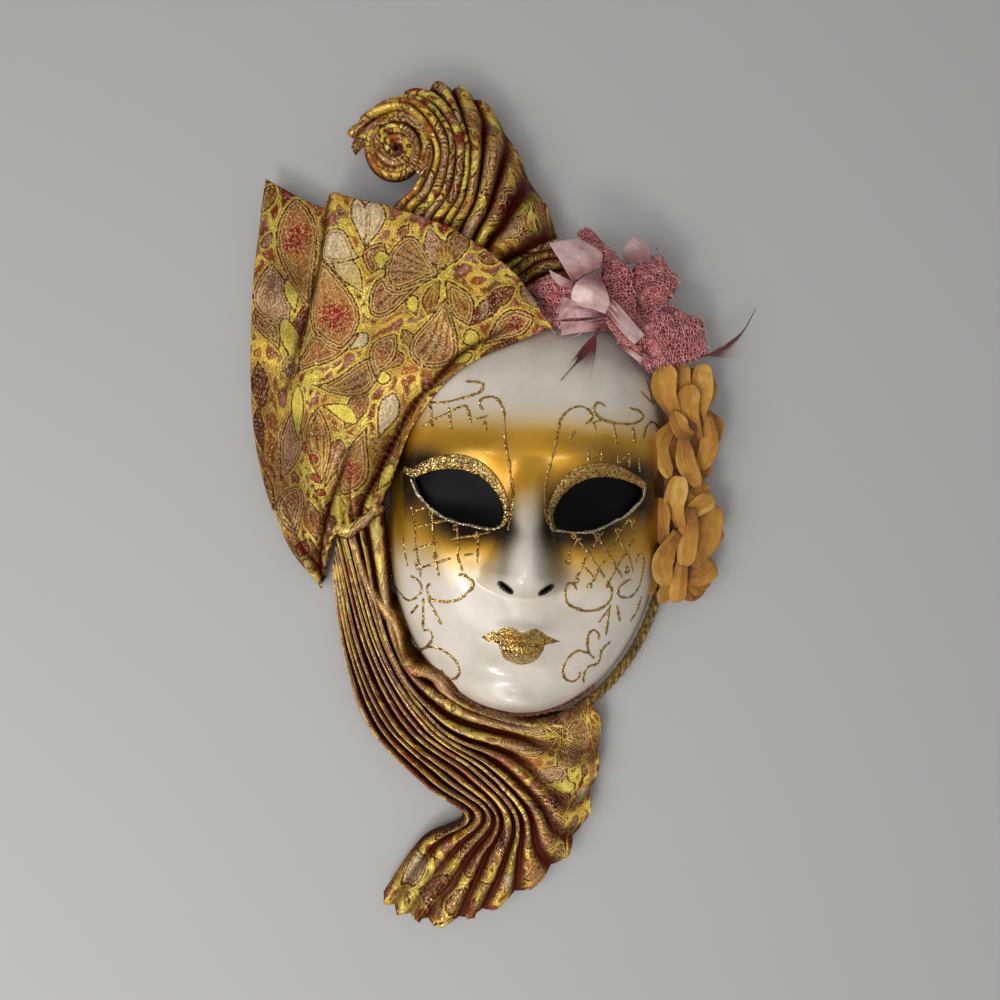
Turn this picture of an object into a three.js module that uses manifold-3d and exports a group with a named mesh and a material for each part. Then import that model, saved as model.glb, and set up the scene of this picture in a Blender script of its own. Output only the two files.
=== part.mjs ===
import * as THREE from "three";
import { mergeVertices } from "three/addons/utils/BufferGeometryUtils.js";
import Module from "manifold-3d";

const wasm = await Module();
wasm.setup();

// Driving dimensions in millimetres: x across the face, y up it, z out of it. The rim of the
// moulded face lies in the plane z = 0 and its centre is at x = 0, y = 0.
const face = { halfWidth: 78, top: 114, chin: 111, depth: 55, wall: 2.6, squareness: 2.05 };
const nose = { brow: 34, tip: -26, base: -38, height: 26, bridge: 7, foot: 14, arch: 0.011, edge: 3.2 };
const cloth = { thickness: 1.4, clearance: 1.5 };
const gap = 0.4;

// Half outline of the eye opening, from the outer corner over the lid and back.
const eyeOutline = [
  [62, 21], [51, 24.6], [38, 25.8], [26, 22.6], [17, 15], [12.4, 5],
  [14, -2.4], [25, -3], [38, -1.4], [50, 4], [58, 12], [62, 21],
];

// Soft swellings and hollows, each mirrored across x = 0: x, y, height, reach across, reach along.
const modelling = {
  brow: [26, 36, 4, 20, 9],
  socket: [36, 8, -8, 22, 13],
  cheek: [41, -22, 5, 21, 20],
  muzzle: [0, -58, 3.5, 24, 19],
  upperLip: [5, -55.5, 2.6, 9, 3.6],
  lowerLip: [0, -66.5, 2.1, 10.5, 4.8],
  mouthLine: [0, -60.8, -1, 17, 1.9],
  lipLedge: [0, -76.5, -1.8, 20, 4],
  chin: [0, -90, 4, 17, 12],
};
const nostril = { x: 14.5, y: -30, height: 5.5, across: 6.5, along: 6 };
const slit = { x: 10, y: -32.3, half: 4.2, breadth: 1.3, turn: 0.6 };

// Guide lines of the three brocade pieces, each from its gathered root to its cut edge.
const fanGuides = [
  [[-111, -46, 8], [-136, -14, 9], [-154, 37, 10], [-160, 108, 10], [-156, 184, 12]],
  [[-105, -38, 10], [-123, -9, 13], [-136, 38, 14], [-136, 105, 15], [-125, 170, 14]],
  [[-100, -31, 14], [-112, 0, 20], [-123, 46, 21], [-122, 107, 22], [-114, 173, 22]],
  [[-95, -24, 17], [-103, 9, 25], [-102, 55, 28], [-87, 104, 30], [-61, 160, 30]],
  [[-90, -18, 19], [-91, 13, 26], [-81, 56, 32], [-57, 94, 37], [-18, 136, 36]],
  [[-85, -14, 18], [-80, 16, 17], [-64, 50, 27], [-37, 80, 36], [8, 105, 33]],
];
const sweepGuides = [
  [
    [-109, -47, 6], [-99, -79, 6], [-81, -121, 6], [-52, -151, 7],
    [-27, -168, 9], [-49, -182, 10], [-71, -217, 9],
  ],
  [
    [-105, -41, 9], [-93, -78, 9], [-71, -120, 9], [-42, -148, 9],
    [-16, -166, 12], [-34, -188, 12], [-58, -227, 10],
  ],
  [
    [-101, -36, 12], [-87, -77, 12], [-62, -120, 12], [-30, -145, 12],
    [-6, -166, 14], [-17, -192, 13], [-38, -231, 10],
  ],
  [
    [-98, -31, 14], [-81, -76, 15], [-53, -118, 15], [-20, -141, 14],
    [3, -164, 15], [1, -194, 13], [-10, -224, 10],
  ],
  [
    [-94, -26, 16], [-76, -76, 17], [-46, -116, 17], [-12, -136, 17],
    [13, -158, 17], [22, -177, 15], [23, -200, 11],
  ],
  [
    [-91, -22, 17], [-72, -75, 18], [-41, -115, 17], [-1, -130, 17],
    [21, -146, 17], [34, -156, 15], [43, -164, 12],
  ],
  [
    [-87, -18, 18], [-70, -74, 18], [-39, -109, 16], [4, -120, 16],
    [27, -128, 16], [40, -133, 14], [49, -138, 12],
  ],
  [
    [-83, -16, 18], [-68, -70, 17], [-37, -104, 15], [4, -114, 15],
    [25, -111, 14], [35, -106, 12], [43, -100, 10],
  ],
];
const curlGuides = [
  [
    [-60, 108, 8], [-83, 163, 14], [-71, 181, 20], [-66, 199, 24],
    [-80, 215, 24], [-97, 209, 20], [-108, 201, 14],
  ],
  [
    [-52, 110, 9], [-73, 157, 16], [-61, 179, 22], [-57, 201, 26],
    [-73, 221, 24], [-91, 226, 18], [-104, 220, 13],
  ],
  [
    [-45, 113, 10], [-61, 153, 18], [-50, 178, 23], [-49, 203, 26],
    [-58, 222, 22], [-69, 232, 17], [-80, 234, 13],
  ],
  [
    [-38, 115, 10], [-51, 150, 19], [-41, 175, 23], [-39, 200, 24],
    [-44, 219, 19], [-48, 230, 15], [-53, 241, 12],
  ],
  [
    [-30, 117, 10], [-41, 146, 20], [-32, 172, 22], [-27, 194, 21],
    [-26, 209, 18], [-28, 218, 15], [-30, 226, 12],
  ],
  [
    [-22, 118, 10], [-31, 144, 20], [-21, 163, 22], [-14, 180, 20],
    [-12, 187, 17], [-10, 191, 14], [-9, 194, 12],
  ],
  [[-12, 118, 10], [-22, 139, 20], [-10, 148, 22], [-1, 153, 19], [4, 157, 16], [8, 159, 13], [11, 161, 11]],
];
const roll = { x: -79, y: 200, z: 20, radius: 17, height: 8, pitch: 4.5, groove: 1.6 };

// Valleys between the pleats as shares of the way across each piece, and the pleats' height at
// the root, halfway and at the cut edge.
const even = (count) => Array.from({ length: count + 1 }, (_, k) => k / count);
const pleats = {
  fan: { valleys: [0, 0.2, 0.36, 0.53, 0.7, 0.87, 1], heights: [4.5, 4, 3.5] },
  sweep: { valleys: even(10), heights: [3.5, 3.5, 4] },
  curl: { valleys: even(8), heights: [2, 4.5, 2.5] },
};

// Petals and feathers: each is [tip x, tip y, tip z, width, lift] about its flower's heart.
const flowers = {
  yellow_flower_upper: {
    heart: [87, 43, 22],
    radius: 9,
    petals: [
      [81, 84, 27, 12, 5], [92, 87, 23, 12, 6], [103, 83, 20, 12, 5], [110, 62, 18, 12, 5],
      [109, 38, 20, 12, 4], [99, 17, 20, 11, 5], [81, 20, 28, 10, 5], [77, 52, 32, 11, 2],
    ],
  },
  yellow_flower_lower: {
    heart: [89, -12, 21],
    radius: 10,
    petals: [
      [89, 22, 29, 10, 5], [76, 9, 31, 11, 4], [74, -16, 31, 12, 3], [105, 9, 24, 12, 6],
      [112, -6, 18, 16, 4], [79, -37, 22, 12, 5], [89, -48, 14, 12, 5], [108, -26, 16, 16, 4],
      [101, -42, 13, 13, 4],
    ],
  },
  pink_gauze_flower: {
    heart: [60, 112, 23],
    radius: 11,
    petals: [
      [36, 164, 20, 26, 6], [66, 154, 22, 24, 5], [84, 134, 18, 26, 5], [101, 111, 16, 30, 4],
      [75, 86, 28, 20, 2], [46, 96, 37, 18, 0],
    ],
  },
  pink_satin_petals: {
    heart: [40, 118, 41],
    radius: 5,
    petals: [
      [14, 152, 34, 22, 4], [36, 150, 38, 20, 4], [14, 127, 38, 20, 5], [19, 105, 38, 22, 4],
      [46, 108, 44, 12, 2], [60, 94, 38, 12, 3],
    ],
  },
};
const feathers = {
  feather_front: { base: [42, 98, 36], tip: [20, 79, 43], width: 9, lift: 1 },
  feather_side: { base: [68, 76, 14], tip: [131, 122, 22], width: 8, lift: -3 },
};
const cord = { radius: 2.9, lobes: 3, groove: 0.7, lay: 17, from: -57, to: 48, height: 6, out: 0.5 };
const piping = { radius: 1.5, from: -66, to: -107, height: 16, out: -2.6 };

// Bell-shaped swelling of height 1 about (cx, cy) and its mirror image about (-cx, cy).
function swelling(x, y, cx, cy, across, along) {
  const fall = ((y - cy) / along) ** 2;
  return Math.exp(-(((x - cx) / across) ** 2) - fall) + Math.exp(-(((x + cx) / across) ** 2) - fall);
}

// Distance from the face's centre as a share of the way to its rim, which is a superellipse.
function rimShare(x, y, grow = 0) {
  const across = Math.abs(x) / (face.halfWidth + grow);
  const along = Math.abs(y) / ((y > 0 ? face.top : face.chin) + grow);
  return (across ** face.squareness + along ** face.squareness) ** (1 / face.squareness);
}

// Point of the rim at an angle, scaled about the centre.
function rimPoint(angle, scale, z) {
  const power = 2 / face.squareness;
  const c = Math.cos(angle);
  const s = Math.sin(angle);
  const x = Math.sign(c) * Math.abs(c) ** power * face.halfWidth * scale;
  const y = Math.sign(s) * Math.abs(s) ** power * (s > 0 ? face.top : face.chin) * scale;
  return new THREE.Vector3(x, y, z);
}

// Nose: a ridge that swells from the brow to the tip, with nostril wings, and ends in a crisp
// arched edge over the lip.
function noseHeight(x, y) {
  const rise = THREE.MathUtils.clamp((nose.brow - y) / (nose.brow - nose.tip), 0, 1);
  const fall = THREE.MathUtils.clamp((nose.tip - y) / (nose.tip - nose.base), 0, 1);
  const width = THREE.MathUtils.lerp(nose.bridge, nose.foot, rise ** 2.2);
  const profile = rise ** 1.2 * (1.4 - 0.4 * rise ** 3) * (1 - 0.42 * fall ** 2);
  const ridge = nose.height * profile * Math.exp(-((Math.abs(x) / width) ** 2.6));
  const wings = nostril.height * swelling(x, y, nostril.x, nostril.y, nostril.across, nostril.along);
  const lip = nose.base + nose.arch * x ** 2;
  return (ridge + wings) * THREE.MathUtils.smoothstep(y, lip - nose.edge / 2, lip + nose.edge / 2);
}

// Height of the face over the rim plane: a flattened dome with the modelling on it.
function faceHeight(x, y, grow = 0) {
  const rim = rimShare(x, y, grow);
  if (rim >= 1) return 0;
  let relief = noseHeight(x, y);
  for (const [cx, cy, height, across, along] of Object.values(modelling)) {
    relief += height * swelling(x, y, cx, cy, across, along);
  }
  return (face.depth + grow) * (1 - rim ** 2.6) ** 0.55 + relief * (1 - rim ** 6);
}

// Inner wall: the lowest outer height within one wall of the point, so steep sides keep it too.
function innerHeight(x, y) {
  let lowest = faceHeight(x, y);
  for (let k = 0; k < 8; k += 1) {
    const angle = (k * Math.PI) / 4;
    lowest = Math.min(lowest, faceHeight(x + face.wall * Math.cos(angle), y + face.wall * Math.sin(angle)));
  }
  return Math.max(lowest - face.wall * 0.7, 0);
}

function geometryOf(positions, index) {
  const geometry = new THREE.BufferGeometry();
  geometry.setAttribute("position", new THREE.Float32BufferAttribute(positions, 3));
  geometry.setIndex(index);
  return geometry;
}

function solidOf(geometry) {
  const bare = geometry.clone();
  bare.deleteAttribute("normal");
  bare.deleteAttribute("uv");
  const merged = mergeVertices(bare, 1e-4);
  const vertProperties = new Float32Array(merged.attributes.position.array);
  const triVerts = new Uint32Array(merged.index.array);
  return new wasm.Manifold(new wasm.Mesh({ numProp: 3, vertProperties, triVerts }));
}

function meshGeometry(solid) {
  const mesh = solid.getMesh();
  const geometry = geometryOf(mesh.vertProperties, Array.from(mesh.triVerts));
  geometry.computeVertexNormals();
  return geometry;
}

// The largest body of a solid that a cut may have left in pieces.
function mainBody(solid) {
  const bodies = solid.decompose();
  return bodies.reduce((a, b) => (a.volume() > b.volume() ? a : b));
}

// Dome standing on the plane z = low: rings about a centre out to the rim, closed flat below.
function domeSolid(height, outline, centre, low, rings, spokes) {
  const positions = [centre.x, centre.y, height(centre.x, centre.y)];
  const index = [];
  for (let k = 1; k <= rings; k += 1) {
    const share = Math.sin((k * Math.PI) / (2 * rings));
    for (let j = 0; j < spokes; j += 1) {
      const edge = outline((j * 2 * Math.PI) / spokes);
      const x = THREE.MathUtils.lerp(centre.x, edge.x, share);
      const y = THREE.MathUtils.lerp(centre.y, edge.y, share);
      positions.push(x, y, k === rings ? low : height(x, y));
    }
  }
  const ring = (k, j) => 1 + (k - 1) * spokes + (j % spokes);
  for (let j = 0; j < spokes; j += 1) {
    index.push(0, ring(1, j), ring(1, j + 1));
    for (let k = 1; k < rings; k += 1) {
      index.push(ring(k, j), ring(k + 1, j), ring(k + 1, j + 1));
      index.push(ring(k, j), ring(k + 1, j + 1), ring(k, j + 1));
    }
  }
  const last = positions.length / 3;
  positions.push(centre.x, centre.y, low);
  for (let j = 0; j < spokes; j += 1) index.push(last, ring(rings, j + 1), ring(rings, j));
  return solidOf(geometryOf(positions, index));
}

// Sheet of even thickness under a grid of points given by point(u, v), with u and v from 0 to 1.
function sheetSolid(point, rows, columns, thickness) {
  const positions = [];
  const index = [];
  for (const drop of [0, thickness]) {
    for (let i = 0; i <= rows; i += 1) {
      for (let j = 0; j <= columns; j += 1) {
        const p = point(i / rows, j / columns);
        positions.push(p.x, p.y, p.z - drop);
      }
    }
  }
  const under = (rows + 1) * (columns + 1);
  const at = (i, j) => i * (columns + 1) + j;
  const quad = (a, b, c, d) => index.push(a, b, c, a, c, d);
  for (let i = 0; i < rows; i += 1) {
    for (let j = 0; j < columns; j += 1) {
      quad(at(i, j), at(i + 1, j), at(i + 1, j + 1), at(i, j + 1));
      quad(under + at(i, j), under + at(i, j + 1), under + at(i + 1, j + 1), under + at(i + 1, j));
    }
    quad(at(i + 1, 0), at(i, 0), under + at(i, 0), under + at(i + 1, 0));
    quad(at(i, columns), at(i + 1, columns), under + at(i + 1, columns), under + at(i, columns));
  }
  for (let j = 0; j < columns; j += 1) {
    quad(at(0, j), at(0, j + 1), under + at(0, j + 1), under + at(0, j));
    quad(at(rows, j + 1), at(rows, j), under + at(rows, j), under + at(rows, j + 1));
  }
  const solid = solidOf(geometryOf(positions, index));
  if (solid.volume() > 0) return solid;
  return solidOf(geometryOf(positions, index.reverse()));
}

// Tube along a curve with a lobed section that turns once in each lay length, flat at its ends.
function ropeSolid(curve, { radius, groove, lobes, lay }, steps, sides) {
  const frames = curve.computeFrenetFrames(steps, false);
  const length = curve.getLength();
  const positions = [];
  const index = [];
  for (let i = 0; i <= steps; i += 1) {
    const centre = curve.getPointAt(i / steps);
    const turn = (2 * Math.PI * length * i) / (steps * lay);
    for (let j = 0; j < sides; j += 1) {
      const angle = (2 * Math.PI * j) / sides;
      const reach = radius - groove * (0.5 + 0.5 * Math.cos(lobes * (angle - turn)));
      const p = centre.clone();
      p.addScaledVector(frames.normals[i], reach * Math.cos(angle));
      p.addScaledVector(frames.binormals[i], reach * Math.sin(angle));
      positions.push(p.x, p.y, p.z);
    }
  }
  const at = (i, j) => i * sides + (j % sides);
  for (let j = 0; j < sides; j += 1) {
    for (let i = 0; i < steps; i += 1) {
      index.push(at(i, j), at(i, j + 1), at(i + 1, j + 1));
      index.push(at(i, j), at(i + 1, j + 1), at(i + 1, j));
    }
    if (j > 1) index.push(at(0, 0), at(0, j), at(0, j - 1), at(steps, 0), at(steps, j - 1), at(steps, j));
  }
  const solid = solidOf(geometryOf(positions, index));
  if (solid.volume() > 0) return solid;
  return solidOf(geometryOf(positions, index.reverse()));
}

const noseCentre = { x: 0, y: nose.tip };
const rimOutline = (scale) => (angle) => rimPoint(angle, scale, 0);

// The face and everything within the clearance of it, which cloth and flowers keep out of.
const guarded = domeSolid(
  (x, y) => faceHeight(x, y, gap) + gap, rimOutline(1 + gap / face.halfWidth), noseCentre, -1, 18, 56,
);

function prism(outline, from, to, points) {
  const shape = new THREE.Shape(outline.getPoints(points).slice(0, -1));
  const geometry = new THREE.ExtrudeGeometry(shape, { depth: to - from, bevelEnabled: false });
  geometry.translate(0, 0, from);
  return solidOf(geometry);
}

// Moulded face: the outer dome less the inner one, the eye openings and the nostril slits.
function faceShell() {
  const outer = domeSolid(faceHeight, rimOutline(1), noseCentre, 0, 20, 48);
  const inset = 1 - face.wall / face.halfWidth;
  const inner = domeSolid(innerHeight, rimOutline(inset), noseCentre, -1, 12, 36);
  let shell = outer.subtract(inner);
  for (const side of [-1, 1]) {
    const eye = new THREE.SplineCurve(eyeOutline.map(([x, y]) => new THREE.Vector2(side * x, y)));
    const { x, y, half, breadth, turn } = slit;
    const cut = new THREE.EllipseCurve(side * x, y, half, breadth, 0, 2 * Math.PI, false, side * turn);
    shell = shell.subtract(prism(eye, 12, 90, 30)).subtract(prism(cut, 45, 95, 10));
  }
  return mainBody(shell);
}

// Dark lining close behind one eye opening, following the inner wall of the face.
function eyeLining(side) {
  const point = (u, v) => {
    const angle = Math.PI * (v - 0.5);
    const x = side * THREE.MathUtils.lerp(8, 68, u);
    const reach = 18 * Math.sqrt(1 - (2 * u - 1) ** 4) + 2;
    const y = THREE.MathUtils.lerp(9, 15, u) + reach * Math.sin(angle);
    return new THREE.Vector3(x, y, Math.max(innerHeight(x, y) - 1.6, 3));
  };
  return mainBody(sheetSolid(point, 8, 4, 1).subtract(faceShellSolid));
}

// Cloth over guide lines: u runs down the cloth, and phase counts the pleats across it, each a
// ridge between two valleys. The cloth rests on the face wherever the face is higher.
function pleatedPoint(guides, { valleys, heights }) {
  const lines = guides.map((line) => new THREE.CatmullRomCurve3(
    line.map((p) => new THREE.Vector3(...p)), false, "catmullrom", 0.5,
  ));
  const height = new THREE.SplineCurve(heights.map((h, k) => new THREE.Vector2(k, h)));
  return (u, phase) => {
    const fold = Math.min(Math.floor(phase), valleys.length - 2);
    const t = THREE.MathUtils.lerp(valleys[fold], valleys[fold + 1], phase - fold);
    const across = lines.map((line) => line.getPoint(u));
    const p = new THREE.CatmullRomCurve3(across, false, "catmullrom", 0.5).getPoint(t);
    p.z = Math.max(p.z, faceHeight(p.x, p.y) + cloth.clearance + cloth.thickness);
    p.z += height.getPoint(u).y * Math.abs(Math.sin(Math.PI * phase));
    return p;
  };
}

function pleatedCloth(guides, pleat, rows) {
  const point = pleatedPoint(guides, pleat);
  const count = pleat.valleys.length - 1;
  const sheet = sheetSolid((u, v) => point(u, count * v), rows, 2 * count, cloth.thickness);
  return mainBody(sheet.subtract(guarded));
}

// Rolled end of the curl: a low dome with a spiral groove.
function rolledEnd() {
  const height = (x, y) => {
    const r = Math.hypot(x - roll.x, y - roll.y);
    const turn = Math.atan2(y - roll.y, x - roll.x) / (2 * Math.PI);
    const ridge = Math.abs(Math.sin(Math.PI * (r / roll.pitch - turn)));
    return roll.z + roll.height * Math.sqrt(Math.max(1 - (r / roll.radius) ** 2, 0)) + roll.groove * ridge;
  };
  const outline = (angle) => ({
    x: roll.x + roll.radius * Math.cos(angle),
    y: roll.y + roll.radius * Math.sin(angle),
  });
  return domeSolid(height, outline, roll, roll.z - 4, 7, 16);
}

// Petal: a leaf-shaped sheet from the heart to its tip, arched along and cupped across.
function petalSolid(base, [x, y, z, width, lift], thickness) {
  const tip = new THREE.Vector3(x, y, z);
  const run = tip.clone().sub(base);
  const side = new THREE.Vector3(-run.y, run.x, 0).normalize();
  const point = (u, v) => {
    const half = 0.5 * width * Math.sin(Math.PI * (0.1 + 0.82 * u ** 0.9)) ** 0.7;
    const across = 2 * v - 1;
    const p = base.clone().addScaledVector(run, u).addScaledVector(side, half * across);
    p.z += 4 * lift * u * (1 - u) + 0.12 * width * across ** 2;
    return p;
  };
  return sheetSolid(point, 5, 2, thickness);
}

function flowerSolid({ heart, radius, petals }) {
  const centre = new THREE.Vector3(...heart);
  const bud = new THREE.SphereGeometry(radius, 8, 5);
  bud.scale(1, 1, 0.7);
  bud.translate(centre.x, centre.y, centre.z);
  let flower = solidOf(bud);
  for (const petal of petals) flower = flower.add(petalSolid(centre, petal, 1.2));
  return mainBody(flower.subtract(guarded));
}

function featherSolid({ base, tip, width, lift }) {
  return mainBody(petalSolid(new THREE.Vector3(...base), [...tip, width, lift], 1.2).subtract(guarded));
}

// Curve beside the rim between two angles in degrees, a given distance out and up.
function rimCurve({ radius, from, to, height }, out) {
  const points = [];
  for (let k = 0; k <= 16; k += 1) {
    const angle = THREE.MathUtils.degToRad(THREE.MathUtils.lerp(from, to, k / 16));
    points.push(rimPoint(angle, 1 + (out + radius) / face.halfWidth, height));
  }
  return new THREE.CatmullRomCurve3(points, false, "catmullrom", 0.5);
}

function pipingSolid() {
  const circle = new THREE.EllipseCurve(0, 0, piping.radius, piping.radius).getPoints(6).slice(0, -1);
  const section = new THREE.Shape(circle);
  const path = rimCurve(piping, piping.out);
  return solidOf(new THREE.ExtrudeGeometry(section, { steps: 24, extrudePath: path }));
}

const finishes = {
  pearl: { color: "#d9d4cc", roughness: 0.25, metalness: 0 },
  lining: { color: "#111014", roughness: 0.5, metalness: 0 },
  brocade: { color: "#a8853a", roughness: 0.6, metalness: 0.2 },
  gilt: { color: "#8c7038", roughness: 0.45, metalness: 0.4 },
  yellow: { color: "#d9a648", roughness: 0.7, metalness: 0 },
  gauze: { color: "#b0606f", roughness: 0.8, metalness: 0 },
  satin: { color: "#c9a3a9", roughness: 0.35, metalness: 0 },
  feather: { color: "#6e1f24", roughness: 0.8, metalness: 0 },
};

const mask = new THREE.Group();

function place(name, solid, finish) {
  const mesh = new THREE.Mesh(meshGeometry(solid), new THREE.MeshStandardMaterial(finishes[finish]));
  mesh.name = name;
  mask.add(mesh);
}

const faceShellSolid = faceShell();
place("face_shell", faceShellSolid, "pearl");
place("eye_lining_left", eyeLining(-1), "lining");
place("eye_lining_right", eyeLining(1), "lining");
place("brocade_fan", pleatedCloth(fanGuides, pleats.fan, 14), "brocade");
place("brocade_sweep", pleatedCloth(sweepGuides, pleats.sweep, 26), "brocade");
place("brocade_curl", mainBody(pleatedCloth(curlGuides, pleats.curl, 18).add(rolledEnd())), "brocade");
place("edge_piping", pipingSolid(), "brocade");
place("gilt_cord", ropeSolid(rimCurve(cord, cord.out), cord, 40, 8), "gilt");
for (const [name, flower] of Object.entries(flowers)) {
  const finish = name.startsWith("yellow") ? "yellow" : name.includes("gauze") ? "gauze" : "satin";
  place(name, flowerSolid(flower), finish);
}
for (const [name, feather] of Object.entries(feathers)) place(name, featherSolid(feather), "feather");

// The origin is the middle of the part's underside.
const box = new THREE.Box3().setFromObject(mask);
const middle = box.getCenter(new THREE.Vector3());
mask.position.set(-middle.x, -middle.y, -box.min.z);

export default mask;
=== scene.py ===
import functools
import math

import bmesh
import bpy
import numpy as np
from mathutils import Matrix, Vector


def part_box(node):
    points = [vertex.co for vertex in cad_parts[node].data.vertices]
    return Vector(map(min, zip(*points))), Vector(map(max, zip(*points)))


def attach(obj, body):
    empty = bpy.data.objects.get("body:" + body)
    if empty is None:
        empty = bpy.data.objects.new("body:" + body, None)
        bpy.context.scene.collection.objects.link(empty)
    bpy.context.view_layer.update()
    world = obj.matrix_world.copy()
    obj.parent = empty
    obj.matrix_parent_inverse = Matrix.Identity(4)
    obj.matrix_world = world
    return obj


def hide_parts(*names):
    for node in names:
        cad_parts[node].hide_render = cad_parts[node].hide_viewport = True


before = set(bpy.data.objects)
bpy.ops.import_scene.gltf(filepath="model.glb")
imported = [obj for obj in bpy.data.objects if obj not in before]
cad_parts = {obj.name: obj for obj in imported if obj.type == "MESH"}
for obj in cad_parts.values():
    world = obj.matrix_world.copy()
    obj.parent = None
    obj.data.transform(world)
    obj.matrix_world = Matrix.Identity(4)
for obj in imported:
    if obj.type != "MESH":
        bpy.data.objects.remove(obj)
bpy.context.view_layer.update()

# Sizes are in millimetres in the mask's own frame: x across the face, y up it, z out of it, with
# the rim of the moulded face in the plane z = 0 and its centre at x = 0, y = 0.
MM = 0.001
FACE = {
    "half_width": 78, "top": 114, "chin": 111, "depth": 55, "wall": 2.3, "squareness": 2.05, "shoulders": 3.2,
}
NOSE = {
    "brow": 34, "tip": -26, "base": -38, "height": 26, "bridge": 7, "foot": 14, "arch": 0.011, "edge": 3.2,
}
NOSTRIL = {"x": 14.5, "y": -30, "height": 5.5, "across": 6.5, "along": 6}
SLIT = {"x": 10, "y": -32.3, "half": 4.0, "breadth": 1.3, "turn": 0.6}
# Swellings and hollows of the face and their mirror images: centre, height, breadth across and along.
MODELLING = {
    "brow": (26, 36, 4, 20, 9),
    "socket": (36, 8, -8, 22, 13),
    "cheek": (41, -22, 5, 21, 20),
    "muzzle": (0, -58, 3.5, 24, 19),
    "upper_lip": (5, -55.5, 2.6, 9, 3.6),
    "lower_lip": (0, -66.5, 2.1, 10.5, 4.8),
    "mouth_line": (0, -60.8, -1, 17, 1.9),
    "lip_ledge": (0, -76.5, -1.8, 20, 4),
    "chin": (-1, -99.5, 10, 24, 8.5),
}
# Outline of one eye opening, from its outer corner over the lid and back. The other one is its
# mirror image.
EYE = [
    (62, 21), (51, 24.6), (38, 25.8), (26, 22.6), (17, 15), (12.4, 5), (14, -2.4), (25, -3), (38, -1.4),
    (50, 4), (58, 12), (62, 21),
]
EYE_LID_POINTS = 6
# The glitter over the left eye starts past its corner, and both bands have these widths along them.
LEFT_WING = [(68.5, 23.5)]
LID_WIDTHS = [3.0, 5.0, 7.0, 7.0, 4.8, 2.6, 1.7]
LINING = {"x": 8, "width": 60, "y": 9, "rise": 6, "reach": 18, "margin": 2, "under": 4.6, "lowest": 3}
# Dark airbrush in soft spots, and the darkening along both sides of the face beside the cloth and cord (the
# spots 75 and 76 mm out): the side of the face, centre, breadth across and along, and strength.
SMOKE = [
    (-1, 12, -2, 4.5, 10, 0.6), (1, 13, 6, 6, 15, 0.9), (-1, 30, -7, 16, 5, 0.85), (1, 28, -7, 14, 5, 0.8),
    (-1, 57, 28, 17, 9, 0.97), (-1, 68, 24, 6, 12, 0.9), (1, 56, 29, 19, 9, 0.97), (1, 26, 25, 12, 4, 0.5),
    (-1, 64, 12, 5, 13, 0.85), (1, 66, 12, 5, 14, 0.8), (1, 20, 18, 5, 6, 0.6), (1, 76, 4, 9, 34, 0.6),
    (-1, 75, 0, 7, 32, 0.55), (1, 14, -14, 6, 20, 0.55), (-1, 12, -16, 4, 14, 0.4),
    (-1, 36, 38, 18, 9, 0.2), (1, 36, 38, 18, 9, 0.3), (-1, 11, 3, 3.5, 12, 0.25), (1, 11, 4, 3.5, 14, 0.5),
]
# Colours of the grains of each glitter, spread over them by chance.
GRAINS = {
    "gold": [(0.0, "#4a300c"), (0.3, "#8a6420"), (0.6, "#c89a3c"), (0.85, "#f0d080"), (1.0, "#fff2c8")],
    "pale": [(0.0, "#6b5a3a"), (0.35, "#a8966c"), (0.65, "#d8cba0"), (0.9, "#f4eed8"), (1.0, "#ffffff")],
    "lips": [(0.0, "#5a3a10"), (0.3, "#98702a"), (0.6, "#cfa24a"), (0.85, "#f2d888"), (1.0, "#fff4c8")],
}

# The camera looks straight down from half a metre; a pixel of the thousand across the square
# picture is 0.575 mm wide in the plane of the rim, and the face is turned 3 degrees in it.
CAMERA = {"x": -15.0, "y": 10.7, "height": 500, "view": 575, "turn": 3.0, "sensor": 36.0}
# Lights in metres, aimed at the middle of the floor: place, width and height, and watts.
LIGHTS = {
    "key": ((-0.75, -0.4, 1.0), (1.0, 1.0), 8.3),
    "fill": ((0.5, 0.6, 1.2), (1.2, 1.2), 1.2),
    "low": ((-0.5, -1.1, 1.1), (0.45, 0.35), 8.5),
    "top": ((-0.15, -0.05, 1.3), (0.3, 0.3), 1.9),
}
FLOOR = {"reach": 1.6, "drop": 0.0004}

# Where the middle of the mask's rim is in the part's frame, in metres.
low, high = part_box("face_shell")
SHIFT = np.array([(low.x + high.x) / 2, low.y + FACE["chin"] * MM, 0.0])


def smoothstep(x, start, end):
    """0 before start, 1 after end, and 3t^2 - 2t^3 between them."""
    t = np.clip((x - start) / (end - start), 0, 1)
    return t * t * (3 - 2 * t)


def spline(points, s, pick=lambda ends, k: ends[k]):
    """Uniform Catmull-Rom curve through a list of points, at shares s of the way along it."""
    p = np.asarray(points, float)
    ends = np.concatenate([[2 * p[0] - p[1]], p, [2 * p[-1] - p[-2]]])
    span = np.clip(s, 0, 1) * (len(p) - 1)
    k = np.minimum(span.astype(int), len(p) - 2)
    w = (span - k)[..., None]
    a, b, c, d = (pick(ends, k + n) for n in range(4))
    return b + 0.5 * w * (c - a + w * (2 * a - 5 * b + 4 * c - d + w * (3 * (b - c) + d - a)))


def blend(values, s):
    """Smooth curve through a list of numbers, at shares s of the way along it."""
    return spline(np.asarray(values, float)[:, None], s)[..., 0]


def net(guides, u, t):
    """Surface over guide lines: u runs along each line and t across them, both as Catmull-Rom."""
    lines = np.stack([spline(guide, u) for guide in guides])
    return spline(lines, t, lambda ends, k: np.take_along_axis(ends, k[None, ..., None], 0)[0])


def grid(rows, columns, start=0):
    """Shares from 0 to 1 down a grid, as a column, and from start to 1 across it, as a row."""
    return np.linspace(0, 1, rows)[:, None], np.linspace(start, 1, columns)[None, :]


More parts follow.
